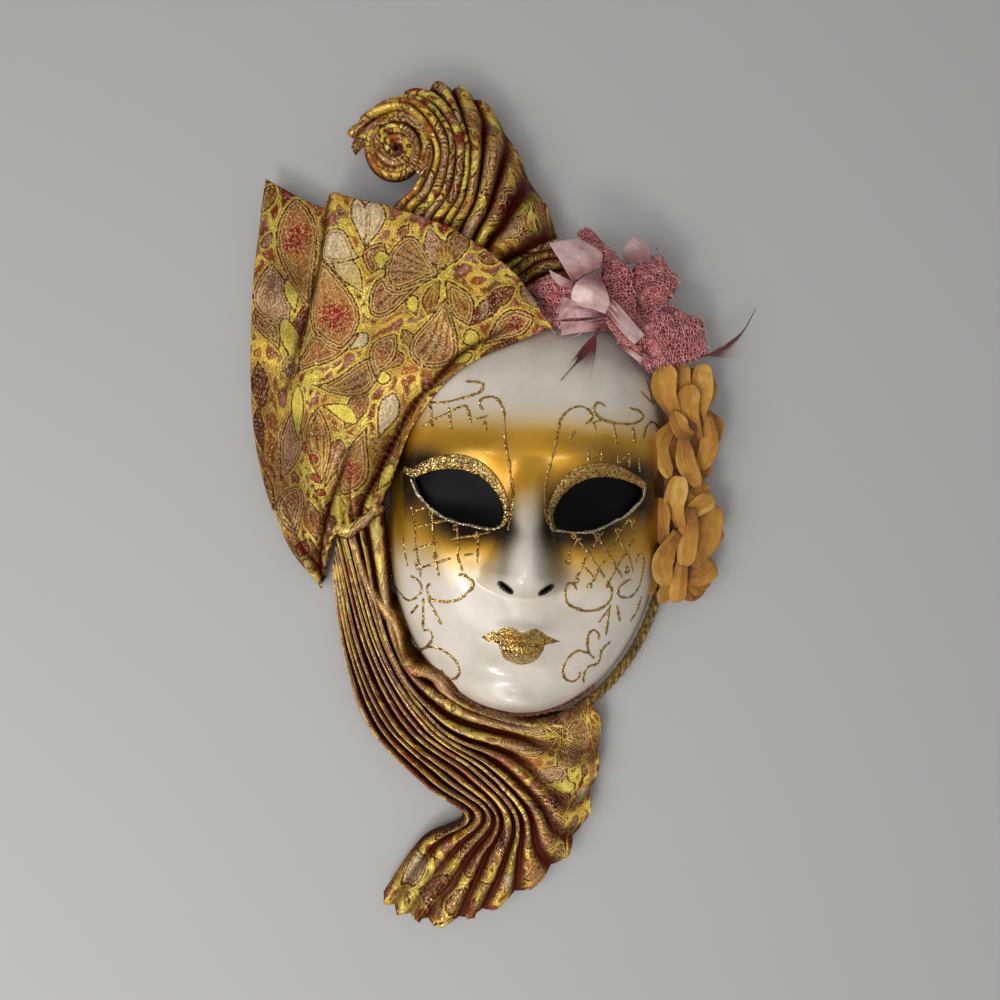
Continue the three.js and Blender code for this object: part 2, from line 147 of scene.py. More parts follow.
def beside(line, reach):
    """The x and y of points at distances to the left of a line, seen from above."""
    run = np.gradient(line, axis=0)
    left = np.stack([-run[:, 1], run[:, 0]], 1) / np.linalg.norm(run[:, :2], axis=1)[:, None]
    return line[:, :1] + left[:, :1] * reach, line[:, 1:2] + left[:, 1:] * reach


def frame_along(line):
    """Unit vectors forwards, to the right and upwards, at each point of a line in space."""
    run = np.gradient(line, axis=0)
    run /= np.linalg.norm(run, axis=1)[:, None]
    side = np.cross(run, (0, 0, 1.0))
    side /= np.linalg.norm(side, axis=1)[:, None]
    return run, side, np.cross(side, run)


def lengths(points, axis=0):
    """Lengths from the start along a line, or along the lines of a grid down it or across it."""
    steps = np.diff(points, axis=axis, prepend=np.take(points, [0], axis))
    return np.cumsum(np.linalg.norm(steps, axis=-1), axis=axis)


def swelling(x, y, cx, cy, across, along):
    """Bell exp(-r^2) about (cx, cy) and its mirror image about (-cx, cy)."""
    fall = ((y - cy) / along) ** 2
    return np.exp(-(((x - cx) / across) ** 2) - fall) + np.exp(-(((x + cx) / across) ** 2) - fall)


def rim_share(x, y):
    """Distance from the middle as a share of the way to the rim, a superellipse above the middle
    and another below it."""
    reach = np.where(y > 0, FACE["top"], FACE["chin"])
    power = np.where(y > 0, FACE["shoulders"], FACE["squareness"])
    return ((np.abs(x) / FACE["half_width"]) ** power + (np.abs(y) / reach) ** power) ** (1 / power)


def rim_point(angle, scale=1.0):
    """Point of the rim superellipse at an angle, scaled about the middle."""
    c, s = np.cos(angle), np.sin(angle)
    power = 2 / np.where(s > 0, FACE["shoulders"], FACE["squareness"])
    x = np.sign(c) * np.abs(c) ** power * FACE["half_width"] * scale
    y = np.sign(s) * np.abs(s) ** power * np.where(s > 0, FACE["top"], FACE["chin"]) * scale
    return x, y


def nose_height(x, y):
    """Ridge that swells from brow to tip, with wings, cut off at an arched edge over the lip."""
    rise = np.clip((NOSE["brow"] - y) / (NOSE["brow"] - NOSE["tip"]), 0, 1)
    fall = np.clip((NOSE["tip"] - y) / (NOSE["tip"] - NOSE["base"]), 0, 1)
    width = NOSE["bridge"] + (NOSE["foot"] - NOSE["bridge"]) * rise ** 2.2
    profile = rise ** 1.2 * (1.4 - 0.4 * rise ** 3) * (1 - 0.42 * fall ** 2)
    ridge = NOSE["height"] * profile * np.exp(-((np.abs(x) / width) ** 2.6))
    wings = NOSTRIL["height"] * swelling(
        x, y, NOSTRIL["x"], NOSTRIL["y"], NOSTRIL["across"], NOSTRIL["along"])
    lip = NOSE["base"] + NOSE["arch"] * x ** 2
    return (ridge + wings) * smoothstep(y, lip - NOSE["edge"] / 2, lip + NOSE["edge"] / 2)


def face_height(x, y):
    """Height over the rim plane: depth (1 - r^2.6)^0.55 plus the modelling, faded at the rim."""
    rim = np.minimum(rim_share(x, y), 1)
    relief = nose_height(x, y)
    for cx, cy, height, across, along in MODELLING.values():
        relief = relief + height * swelling(x, y, cx, cy, across, along)
    return FACE["depth"] * (1 - rim ** 2.6) ** 0.55 + relief * (1 - rim ** 6)


def grid_faces(rows, columns, closed=False):
    """Quads of a grid of rows x columns points, the last column joined to the first if closed."""
    i, j = np.meshgrid(np.arange(rows - 1), np.arange(columns - (not closed)), indexing="ij")
    i, j, k = i.ravel(), j.ravel(), (j.ravel() + 1) % columns
    return np.stack([i * columns + j, (i + 1) * columns + j, (i + 1) * columns + k, i * columns + k], 1)


def surface(points, closed=False, flip=False, **values):
    """A grid of points as a dictionary: flat lists of points and quads, with values per point."""
    faces = grid_faces(points.shape[0], points.shape[1], closed)
    flat = {"points": points.reshape(-1, 3), "faces": faces[:, ::-1] if flip else faces}
    for name, value in values.items():
        shape = points.shape[:2] + ((2,) if name == "uv" else ())
        flat[name] = np.broadcast_to(value, shape).reshape(len(flat["points"]), -1)
    return flat


def joined(surfaces):
    """Several surfaces as one."""
    starts = np.cumsum([0] + [len(s["points"]) for s in surfaces[:-1]])
    whole = {"faces": np.concatenate([s["faces"] + n for s, n in zip(surfaces, starts)])}
    for name in surfaces[0]:
        if name != "faces":
            whole[name] = np.concatenate([s[name] for s in surfaces])
    return whole


def mesh_of(name, flat):
    """Blender mesh, in metres and in the part's frame, of a surface with its uv and values."""
    mesh = bpy.data.meshes.new(name)
    mesh.from_pydata(flat["points"] * MM + SHIFT, [], flat["faces"].tolist())
    corners = np.zeros(len(mesh.loops), np.int32)
    mesh.loops.foreach_get("vertex_index", corners)
    for key, value in flat.items():
        if key == "uv":
            mesh.uv_layers.new(name="UVMap").data.foreach_set("uv", value[corners].astype(np.float32).ravel())
        elif key not in ("points", "faces"):
            kind, field = ("FLOAT_VECTOR", "vector") if value.shape[1] == 3 else ("FLOAT", "value")
            attribute = mesh.attributes.new(key, kind, "POINT")
            attribute.data.foreach_set(field, value.astype(np.float32).ravel())
    mesh.shade_smooth()
    return mesh


def add_piece(name, shape, materials, replaces=(), thickness=0):
    """Object of a mesh, or of a surface, with its materials, riding on the part's one body. It may
    stand for a solid, and be given a thickness."""
    mesh = mesh_of(name, shape) if isinstance(shape, dict) else shape
    piece = bpy.data.objects.new(name, mesh)
    bpy.context.scene.collection.objects.link(piece)
    for material in materials:
        mesh.materials.append(material)
    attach(piece, "root")
    if replaces:
        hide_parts(*replaces)
    if thickness:
        solidify(piece, thickness)
    return piece


def solidify(piece, thickness, inner_slot=0):
    """Gives a sheet its thickness, below the surface that was drawn."""
    wall = piece.modifiers.new("wall", "SOLIDIFY")
    wall.thickness = thickness * MM
    wall.offset = -1
    wall.material_offset = inner_slot
    wall.use_quality_normals = True
    return wall


def linear(code):
    """Linear colour of an sRGB hex value such as #c89a30."""
    channels = (int(code[i:i + 2], 16) / 255 for i in (1, 3, 5))
    return tuple(c / 12.92 if c <= 0.04045 else ((c + 0.055) / 1.055) ** 2.4 for c in channels) + (1.0,)


def put(node, links):
    """Fills a node's inputs, by name or number: a value, a hex colour, a socket, or a node's first live
    output."""
    for key, value in links.items():
        socket = node.inputs[key]
        if isinstance(value, bpy.types.Node):
            value = next(output for output in value.outputs if output.enabled)
        if isinstance(value, bpy.types.NodeSocket):
            node.id_data.links.new(value, socket)
        else:
            socket.default_value = linear(value) if isinstance(value, str) else value


def add_node(tree, kind, links, **settings):
    """Adds a node of a kind with its settings and its inputs; stops are a colour ramp's."""
    node = tree.nodes.new("ShaderNode" + kind)
    stops = settings.pop("stops", None)
    for key, value in settings.items():
        setattr(node, key, value)
    if stops:
        ramp = node.color_ramp
        while len(ramp.elements) < len(stops):
            ramp.elements.new(0.5)
        for element, (place, code) in zip(ramp.elements, stops):
            element.position = place
            element.color = linear(code)
    put(node, links)
    return node


def new_material(name):
    """Material with a principled shader, as (material, shader, add), where add adds a node to it."""
    material = bpy.data.materials.new(name)
    material.use_nodes = True
    tree = material.node_tree
    tree.nodes.clear()
    shader = add_node(tree, "BsdfPrincipled", {})
    add_node(tree, "OutputMaterial", {"Surface": shader})
    return material, shader, functools.partial(add_node, tree)


def in_millimetres(add):
    """Object coordinates in millimetres."""
    place = add("TexCoord", {}).outputs["Object"]
    return add("Mapping", {"Vector": place, "Scale": (1000, 1000, 1000)})


def pearl_lacquer():
    """Moulded face, sprayed with pearl white lacquer and gold and dark airbrush under clear gloss, with
    painted shade round the nostril slits.
    """
    material, shader, add = new_material("pearl lacquer with airbrush")
    mm = in_millimetres(add)
    gold, dark = (add("Attribute", {}, attribute_name=name).outputs["Fac"] for name in ("gold", "dark"))
    # Spray leaves a fine speckle where it fades out, drawn at 0.7 mm so that it shows.
    speckle = add("TexNoise", {"Vector": mm, "Scale": 1 / 0.7, "Detail": 3.0})
    cloud = add("TexNoise", {"Vector": mm, "Scale": 1 / 16, "Detail": 3.0})
    uneven = add("Math", {0: cloud, 1: speckle}, operation="ADD")
    drift = add("MapRange", {
        "Value": uneven, "From Min": 0.6, "From Max": 1.4, "To Min": -0.12, "To Max": 0.12})
    edge = add("Math", {0: gold, 1: drift}, operation="ADD")
    gold_share = add("MapRange", {"Value": edge, "From Max": 0.85})
    pearl = add("ValToRGB", {"Fac": cloud}, stops=[(0.3, "#c4b9aa"), (0.7, "#d8cec2")])
    gilt = add("ValToRGB", {"Fac": edge}, stops=[(0.2, "#c9b06c"), (0.6, "#d2a330"), (1.0, "#ca931e")])
    painted = add("Mix", {0: gold_share, 6: pearl, 7: gilt}, data_type="RGBA")
    # The dark value is airbrush round the eyes and painted shade round the nostril slits, with darkening
    # along the sides and lower rim.
    smoke_and_shade_edge = add("Math", {0: dark, 1: drift}, operation="ADD")
    smoke_and_shade = add("MapRange", {"Value": smoke_and_shade_edge, "From Min": 0.05, "From Max": 0.95})
    smoked_and_shaded = add("Mix", {0: smoke_and_shade, 6: painted, 7: "#1e0c02"}, data_type="RGBA")
    metal = add("Math", {0: gold_share, 1: smoke_and_shade}, operation="MAXIMUM")
    tinted = add("Math", {0: metal, 1: 0.6}, operation="MULTIPLY")
    metallic = add("Math", {0: smoke_and_shade, 1: 0.35, 2: tinted}, operation="MULTIPLY_ADD")
    rough = add("MapRange", {"Value": gold_share, "To Min": 0.4, "To Max": 0.42})
    ripple = add("Bump", {"Height": cloud, "Strength": 0.08, "Distance": 0.001})
    put(shader, {
        "Base Color": smoked_and_shaded, "Metallic": metallic, "Roughness": rough, "Normal": ripple,
        "Coat Weight": 0.45, "Coat Roughness": 0.13,
    })
    return material


def raw_moulding():
    """Inside of the moulded shell: bare white plastic pulp, matt and a little uneven."""
    material, shader, add = new_material("bare moulding")
    mm = in_millimetres(add)
    cloud = add("TexNoise", {"Vector": mm, "Scale": 1 / 9, "Detail": 4.0})
    tone = add("ValToRGB", {"Fac": cloud}, stops=[(0.3, "#b9b4ac"), (0.75, "#d2cec7")])
    bump = add("Bump", {"Height": cloud, "Strength": 0.4, "Distance": 0.0008})
    put(shader, {"Base Color": tone, "Roughness": 0.6, "Normal": bump})
    return material


def glitter(name, stops, grain):
    """Glitter in clear glue: each grain, a cell of the pattern, has its own colour and tilt."""
    material, shader, add = new_material(name)
    mm = in_millimetres(add)
    grains = add("TexVoronoi", {"Vector": mm, "Scale": 1 / grain})
    tone = add("SeparateColor", {"Color": grains.outputs["Color"]})
    colour = add("ValToRGB", {"Fac": tone}, stops=stops)
    tilt = add("VectorMath", {0: grains.outputs["Color"], 1: (-0.5, -0.5, -0.5)}, operation="ADD")
    leaning = add("VectorMath", {0: tilt, "Scale": 1.3}, operation="SCALE")
    facing = add("NewGeometry", {}).outputs["Normal"]
    turned = add("VectorMath", {0: facing, 1: leaning}, operation="ADD")
    normal = add("VectorMath", {0: turned}, operation="NORMALIZE")
    put(shader, {
        "Base Color": colour, "Metallic": 0.9, "Roughness": 0.28, "Normal": normal,
        "Coat Weight": 0.3, "Coat Roughness": 0.08,
    })
    return material


def black_satin():
    """Black satin lining: near black, with the soft shine of long floats of thread."""
    material, shader, add = new_material("black satin")
    mm = in_millimetres(add)
    threads = add("TexWave", {"Vector": mm, "Scale": 1 / 1.1, "Distortion": 0.4}, bands_direction="Y")
    bump = add("Bump", {"Height": threads, "Strength": 0.05, "Distance": 0.0002})
    put(shader, {"Base Color": "#060505", "Roughness": 0.55, "Specular IOR Level": 0.12, "Normal": bump})
    return material


def eye_outline(side, points=160):
    """Closed outline of one eye opening, as a list of points."""
    line = spline([(side * x, y) for x, y in EYE], np.linspace(0, 1, points))
    return line[:-1]


def slit_outline(side, points=40):
    """Ellipse of one nostril slit, turned about its centre."""
    angle = np.linspace(0, 2 * np.pi, points, endpoint=False)
    u, v = SLIT["half"] * np.cos(angle), SLIT["breadth"] * np.sin(angle)
    c, s = math.cos(side * SLIT["turn"]), math.sin(side * SLIT["turn"])
    return np.stack([side * SLIT["x"] + u * c - v * s, SLIT["y"] + u * s + v * c], 1)


def outline_distance(x, y, outline):
    """Distance to a closed outline, negative inside it: the nearest point of every side, and
    inside where a line to the right crosses an odd number of sides."""
    start, end = outline, np.roll(outline, -1, 0)
    run = end - start
    dx, dy = x[:, None] - start[:, 0], y[:, None] - start[:, 1]
    share = np.clip((dx * run[:, 0] + dy * run[:, 1]) / (run ** 2).sum(1), 0, 1)
    away = np.hypot(dx - share * run[:, 0], dy - share * run[:, 1]).min(1)
    spans = (start[:, 1] > y[:, None]) != (end[:, 1] > y[:, None])
    rise = np.where(run[:, 1] == 0, 1e-9, run[:, 1])
    crossings = (spans & (dx < run[:, 0] * dy / rise)).sum(1)
    return np.where(crossings % 2 == 1, -away, away)


def airbrush(x, y):
    """Gold band over the eyes and the top of the nose, and dark airbrush round the eyes, over gold where
    it fades out, with painted shade round the nostril slits and darkening along the sides and the lower rim:
    soft steps up the face times bells, and a fading ring round each eye outline."""
    nose = np.exp(-((x / 13) ** 4))
    floor = -34 + 36 * nose + 5 * np.exp(-(((np.abs(x) - 62) / 16) ** 2))
    gold = smoothstep(y, 68, 38) * smoothstep(y, floor - 8, floor + 26)
    temples = smoothstep(np.abs(x), 62, 75) * smoothstep(y, 84, 60) * smoothstep(y, -66, -36)
    gold = np.maximum(gold, np.where(x > 0, 0.62, 0.45) * temples)
    eyes = np.minimum(*(outline_distance(x, y, eye_outline(side)) for side in (-1, 1)))
    below = np.maximum(smoothstep(y - 0.12 * (np.abs(x) - 38), 9, -3), smoothstep(np.abs(x), 44, 62))
    ring = np.exp(-((np.maximum(eyes, 0) / (4.5 + 4.5 * below)) ** 2)) * (0.55 + 0.4 * below)
    # Painted shade round the nostril slits, which also darkens their walls.
    slits = np.minimum(*(outline_distance(x, y, slit_outline(side)) for side in (-1, 1)))
    dark = np.maximum(ring, smoothstep(slits, 1.1, 0.3))
    for side, cx, cy, across, along, weight in SMOKE:
        bell = weight * np.exp(-(((x - side * cx) / across) ** 2) - ((y - cy) / along) ** 2)
        dark = 1 - (1 - dark) * (1 - bell)
    # Darker along the rim of the lower half.
    rim = smoothstep(rim_share(x, y), 0.92, 1.0) * smoothstep(y, 30, -10)
    dark = 1 - (1 - dark) * (1 - 0.3 * rim)
    under = 0.85 * smoothstep(dark, 0.0, 0.5) * smoothstep(np.abs(x), 11, 20)
    return np.maximum(gold, under), np.clip(dark, 0, 1)


def face_surface(rings=150, spokes=300):
    """Rings about the nose tip out to the rim, closer together near the rim, where it is steep."""
    share = np.sin(np.linspace(0, np.pi / 2, rings))[:, None]
    angle = np.linspace(0, 2 * np.pi, spokes, endpoint=False)[None, :]
    rim_x, rim_y = rim_point(angle)
    x = rim_x * share
    y = NOSE["tip"] + (rim_y - NOSE["tip"]) * share
    return surface(np.stack([x, y, np.zeros_like(x)], -1), closed=True)


def cut_openings(flat, distance):
    """Mesh of a surface without the places where a distance is negative: it is laid out with the
    distance as its height, and cut at height zero."""
    laid = flat["points"].copy()
    laid[:, 2] = distance
    mesh = bpy.data.meshes.new("moulded_face")
    mesh.from_pydata(laid, [], flat["faces"].tolist())
    work = bmesh.new()
    work.from_mesh(mesh)
    bmesh.ops.remove_doubles(work, verts=work.verts, dist=0.01)
    everything = work.verts[:] + work.edges[:] + work.faces[:]
    bmesh.ops.bisect_plane(work, geom=everything, plane_co=(0, 0, 0), plane_no=(0, 0, 1), clear_inner=True)
    bmesh.ops.remove_doubles(work, verts=[v for v in work.verts if v.co.z < 0.5], dist=0.15)
    bmesh.ops.triangulate(work, faces=[f for f in work.faces if len(f.verts) > 4])
    work.to_mesh(mesh)
    work.free()
    return mesh


def coordinates(mesh):
    """Places of a mesh's points, a row of x, y and z for each."""
    places = np.zeros(len(mesh.vertices) * 3, np.float32)
    mesh.vertices.foreach_get("co", places)
    return places.reshape(-1, 3)


def build_face():
    """The moulded face: openings cut in the grid, height over it, wall thickness inwards, and nothing
    below the rim plane."""
    flat = face_surface()
    x, y = flat["points"][:, 0], flat["points"][:, 1]
    outlines = [eye_outline(-1), eye_outline(1), slit_outline(-1), slit_outline(1)]
    distance = np.minimum.reduce([outline_distance(x, y, outline) for outline in outlines])
    mesh = cut_openings(flat, distance)
    points = coordinates(mesh)
    x, y = points[:, 0].astype(float), points[:, 1].astype(float)
    points[:, 2] = face_height(x, y)
    for name, value in zip(("gold", "dark"), airbrush(x, y)):
        mesh.attributes.new(name, "FLOAT", "POINT").data.foreach_set("value", value.astype(np.float32))
    mesh.vertices.foreach_set("co", (points * MM + SHIFT).astype(np.float32).ravel())
    mesh.shade_smooth()
    finishes = [pearl_lacquer(), raw_moulding()]
    piece = add_piece("moulded_face", mesh, finishes, ["face_shell"])
    solidify(piece, FACE["wall"], inner_slot=1).material_offset_rim = 0
    applied = bpy.data.meshes.new_from_object(piece.evaluated_get(bpy.context.evaluated_depsgraph_get()))
    piece.modifiers.clear()
    piece.data = applied
    points = coordinates(applied)
    points[:, 2] = np.maximum(points[:, 2], 0)
    applied.vertices.foreach_set("co", points.ravel())


def lid_band(side, rows=220, columns=12):
    """Glitter crescent over an eye: out from the lid's edge by a width that swells and thins, domed
    across. The left one starts past the eye's corner."""
    u, v = grid(rows, columns)
    wing = LEFT_WING if side < 0 else []
    lid = spline([(side * x, y) for x, y in wing + EYE[:EYE_LID_POINTS + 1]], u[:, 0])
    x, y = beside(lid, -side * ((blend(LID_WIDTHS, u) + 0.5) * v - 0.5))
    z = face_height(x, y) + 0.15 + 0.85 * np.sin(np.pi * np.clip(v * 0.9 + 0.06, 0, 1)) ** 0.6
    return surface(np.stack([x, y, z], -1), flip=side > 0)


def eye_lining(side, rows=60, columns=40):
    """Cloth behind an eye, some way under the face: as tall as sqrt(1 - t^4) along its width, with
    a margin, and no lower than a height over the rim plane."""
    u, v = np.broadcast_arrays(*grid(rows, columns, -1))
    x = side * (LINING["x"] + LINING["width"] * u)
    reach = LINING["reach"] * np.sqrt(1 - (2 * u - 1) ** 4) + LINING["margin"]
    y = LINING["y"] + LINING["rise"] * u + reach * np.sin(np.pi / 2 * v)
    z = np.maximum(face_height(x, y) - LINING["under"], LINING["lowest"])
    return surface(np.stack([x, y, z], -1), flip=side < 0)


def build_openings():
    """Linings behind the eyes and glitter crescents over them."""
    satin = black_satin()
    gold = glitter("gold glitter", GRAINS["gold"], 0.55)
    for side, name in ((-1, "left"), (1, "right")):
        lining = eye_lining(side)
        add_piece("satin_lining_" + name, lining, [satin], ["eye_lining_" + name], 0.6)
        add_piece("glitter_lid_" + name, lid_band(side), [gold], thickness=0.5)


# Drops, leaves and petals woven into the fan, the ones in front first: each from its tip to its head
# in the face's x and y, with its width, how far its axis bends to the left, and its kind.
FAN_MOTIFS = [
    ((-125, 108), (-138, 173.5), 24, 3, "paisley"), ((-118.5, 137.5), (-105, 88.5), 27, 0, "paisley"),
    ((-88.5, 46), (-99.5, 9.5), 17, -1, "paisley"), ((-28.5, 92), (-2.5, 110), 14.5, 2, "paisley"),
    ((-128.5, 76.5), (-141.5, 106), 10.5, 0, "bare"), ((-134.5, 109), (-139, 129.5), 9, 0, "bare"),
    ((-85.5, 131.5), (-86, 142.5), 8.5, 0, "bare"), ((-81.5, 77), (-79.5, 69.5), 7.5, 0, "bare"),
    ((-127.5, 37.5), (-129.5, 68.5), 8, 0, "bare"), ((-115, 57), (-93.5, 48), 8.5, 2, "bare"),
    ((-102, -9.5), (-104.5, 9.5), 9.5, 0, "bare"), ((-82, 12), (-75, 27.5), 6, 0, "bare"),
    ((-86.5, 0.5), (-88.5, 11.5), 6.5, 0, "bare"), ((-64.5, 106.5), (-67.5, 118), 7, 1, "bare"),
    ((-39.5, 93), (-31.5, 99), 8.5, 0, "bare"), ((-44.5, 81), (-33.5, 87), 6, 0, "bare"),
    ((-97, -5), (-91, 10.5), 6.5, 0, "tan"), ((-28, 118.5), (-29, 106.5), 5.5, 0, "mauve"),
    ((-98, 138.5), (-116, 151), 18.5, 4, "silver"), ((-95.5, 144), (-102, 171.5), 8.5, 0, "silver"),
    ((-95, 144), (-92, 170.5), 13, -2, "silver"), ((-95, 119), (-114.5, 138.5), 11.5, -2, "pale"),
    ((-91, 129), (-85, 146.5), 13.5, 2, "tan"), ((-53, 129.5), (-82.5, 138), 30.5, 0, "petal"),
    ((-54, 128), (-90.5, 108.5), 20, -5, "petal"), ((-49.5, 116.5), (-60, 79.5), 25, 3, "petal"),
    ((-51.5, 131.5), (-52.5, 148), 7.5, 0, "gold"), ((-52.5, 131.5), (-61, 154.5), 10, 0, "mauve"),
    ((-50.5, 131), (-43, 154), 12, -1, "petal"), ((-49.5, 125.5), (-36, 102.5), 13.5, 1, "gold"),
    ((-52.5, 126), (-57.5, 106.5), 9, -2, "gold"), ((-36, 102.5), (-19, 121), 9.5, 0, "wine"),
    ((-29, 111.5), (-13.5, 124), 9, 0, "tan"), ((-0.5, 114.5), (-10, 125.5), 7.5, 0, "mauve"),
    ((-85.5, 73.5), (-75, 96.5), 14.5, 2, "tan"), ((-120.5, 68), (-83.5, 81), 16.5, -6, "petal"),
    ((-130.5, 75.5), (-96, 96), 16.5, 3, "tan"), ((-101, 87.5), (-91, 96.5), 8, 0, "silver"),
    ((-131.5, 91), (-135.5, 72.5), 12.5, 0, "coil"), ((-125, 118.5), (-136.5, 82), 11, 0, "wine"),
    ((-137, 99.5), (-150.5, 136), 21.5, 5, "mauve"), ((-142, 87), (-154.5, 114.5), 17, 0, "petal"),
    ((-150.5, 53), (-154.5, 81), 10, 0, "wine"), ((-138, 15.5), (-132, 54), 14, -3, "mauve"),
    ((-127.5, -16.5), (-128.5, 12.5), 17, 4, "coil"), ((-123.5, 37.5), (-122.5, 31), 3.5, 0, "red"),
    ((-119, 30.5), (-116, 26), 3.5, 0, "red"), ((-119, 19.5), (-113.5, 15.5), 4, 0, "red"),
    ((-117, 10.5), (-111, 9.5), 3.5, 0, "red"), ((-113, 14.5), (-117, 56), 13.5, 0, "gold"),
    ((-111.5, 12.5), (-103, 39), 10, 0, "petal"), ((-101, 44.5), (-91.5, 70), 11, -2, "tan"),
    ((-82.5, 41), (-74.5, 65), 10.5, 0, "silver"), ((-80.5, 77), (-71, 86), 8.5, 0, "petal"),
    ((-123.5, -17.5), (-125, -26.5), 8, 0, "red"), ((-148.5, 30.5), (-154, 55), 6.5, 0, "wine"),
    ((-142, -7), (-146.5, 20.5), 5, 0, "gold"), ((-156.5, 164.5), (-151.5, 181), 8.5, 0, "gold"),
    ((-150.5, 154), (-155.5, 144.5), 5, 0, "mauve"), ((-71.5, 156.5), (-77.5, 149.5), 5.5, 0, "tan"),
    ((-21.5, 138.5), (-33.5, 140), 7.5, 0, "tan"), ((-65.5, 89), (-71.5, 99), 6.5, 0, "gold"),
    ((-117, -17), (-120, 5), 9, 0, "tan"), ((-72, 42.5), (-61, 66.5), 6.5, 0, "tan"),
    ((-55.5, 67), (-35, 84), 6.5, 0, "gold"), ((-29.5, 85.5), (-8.5, 97), 5, 0, "wine"),
    ((-77.5, 24), (-71, 44.5), 5.5, 0, "petal"), ((-112.5, -28), (-107.5, 6), 9, 0, "petal"),
    ((-128, 88), (-131.5, 95.5), 5.5, 0, "tan"),
]
# One repeat of the same cloth, 84 x 116 mm, for the narrow pleats of the other pieces.
TILE = (84, 116)
TILE_MOTIFS = [
    ((22, 8), (20, 52), 28.5, 5, "paisley"), ((60, 72), (36, 86), 23, 2, "petal"),
    ((60, 72), (52, 102), 25.5, 0, "petal"), ((60, 72), (76, 98), 23, 0, "tan"),
    ((60, 72), (84, 76), 19.5, 0, "wine"), ((60, 68), (46, 30), 18.5, -3, "petal"),
    ((64, 66), (74, 26), 17, 2, "mauve"), ((4, 60), (12, 92), 18.5, 3, "wine"),
    ((30, 58), (26, 82), 14, 0, "mauve"), ((44, 8), (66, 14), 14, 0, "bare"),
    ((2, 100), (18, 112), 14, 0, "silver"), ((22, 112), (44, 106), 12.5, 2, "tan"),
    ((36, 16), (40, 26), 8, 0, "red"), ((52, 24), (62, 44), 9, 0, "bare"),
    ((4, 12), (4, 44), 14, 0, "wine"), ((66, 104), (80, 112), 10.5, 0, "petal"),
    ((18, 66), (20, 96), 9, 0, "bare"), ((60, 4), (50, -8), 10.5, 0, "petal"),
]
# Each kind of motif: colours at its tip, at its head, in its core and of its lines, and how strongly
# it is ringed along its outline, rayed from its tip and stippled.
KINDS = {
    "paisley": ("#a87630", "#a0642e", "#8c1c12", "#5a280c", 0.35, 0.5, 0.5),
    "petal": ("#b08c34", "#965a2a", "#9a6a44", "#54260a", 0.45, 1.0, 0.45),
    "mauve": ("#a8805c", "#a67a66", "#8e5e4c", "#5e2c1c", 0.5, 0.2, 0.7),
    "bare": ("#cdb84a", "#cdb84a", "#c6ae42", "#cdb84a", 0.0, 0.0, 0.1),
    "wine": ("#742614", "#681c14", "#4a100a", "#280804", 0.4, 0.5, 0.35),
    "silver": ("#a8916c", "#a48c70", "#b29c7a", "#dccb9c", 0.6, 0.3, 0.5),
    "coil": ("#b08c54", "#9a6c44", "#885634", "#4c200e", 1.0, 0.0, 0.4),
    "pale": ("#c0a45a", "#b89c66", "#bca272", "#8a6430", 0.0, 0.0, 0.8),
    "tan": ("#a66c30", "#985626", "#803e1a", "#4e2208", 0.7, 0.7, 0.5),
    "gold": ("#bc9434", "#a87428", "#945c1c", "#5e320c", 0.4, 1.0, 0.3),
    "red": ("#962814", "#9e2614", "#942010", "#4c1208", 0.2, 0.0, 0.3),
}
# How far towards its head a kind is widest, and how blunt its ends are; the others are leaves.
SHAPES = {
    "paisley": (1.6, 0.75), "petal": (2.0, 0.6), "silver": (1.6, 0.7), "coil": (1.6, 0.6),
    "bare": (1.5, 0.75),
}
LEAF = (1.15, 0.9)

# Guide lines of the three brocade pieces, each from its gathered root to its cut edge.
FAN = [
    [(-113.5, -44.5, 8), (-136, -14, 9), (-154, 37, 10), (-160, 108, 10), (-156, 184, 12)],
    [(-110.5, -31.5, 11), (-123, -6, 13), (-136, 38, 14), (-136, 105, 15), (-125, 170, 14)],
    [(-107, -16.5, 15), (-113, 7, 20), (-123, 46, 21), (-122, 107, 22), (-114, 173, 22)],
    [(-101, -10, 18), (-104, 16, 25), (-102, 55, 28), (-87, 104, 30), (-61, 160, 30)],
    [(-91.5, -5.5, 20), (-91, 20, 26), (-81, 56, 32), (-57, 94, 37), (-18, 136, 36)],
    [(-82, 2.5, 19), (-73, 24, 20), (-61, 52, 27), (-37, 80, 36), (8, 105, 33)],
]
SWEEP = [
    [(-107, -38, 4), (-99.5, -79, 6), (-85, -120, 6), (-53, -151, 7), (-27, -168, 9), (-49, -182, 10),
     (-71, -217, 9)],
    [(-106.5, -29, 6), (-94, -78, 9), (-74, -119.5, 9), (-42, -148, 9), (-16, -166, 12), (-34, -188, 12),
     (-58, -227, 10)],
    [(-105.5, -20, 8), (-88, -77, 12), (-64, -119.5, 12), (-30, -145, 12), (-6, -166, 14), (-15, -192, 13),
     (-32, -230, 10)],
    [(-104.5, -11, 9), (-81, -76, 15), (-53, -118, 15), (-20, -141, 14), (3, -164, 15), (3, -192, 13),
     (1, -215, 10)],
    [(-101.5, -5, 10), (-76, -76, 17), (-46, -116, 17), (-12, -136, 17), (13, -158, 17), (22, -177, 15),
     (33, -188, 11)],
    [(-97.5, -1.5, 11), (-72, -75, 18), (-41, -115, 17), (-1, -130, 17), (21, -146, 17), (34, -156, 15),
     (46, -151, 12)],
    [(-91, 2, 11), (-70.5, -74, 18), (-39, -109, 16), (4, -120, 16), (27, -127, 16), (40, -130, 14),
     (50, -121, 12)],
    [(-80, 6, 12), (-66, -73, 17), (-39, -99, 16), (-4, -112, 15), (22, -108, 14), (34, -101.5, 12),
     (43.5, -96.5, 10)],
]
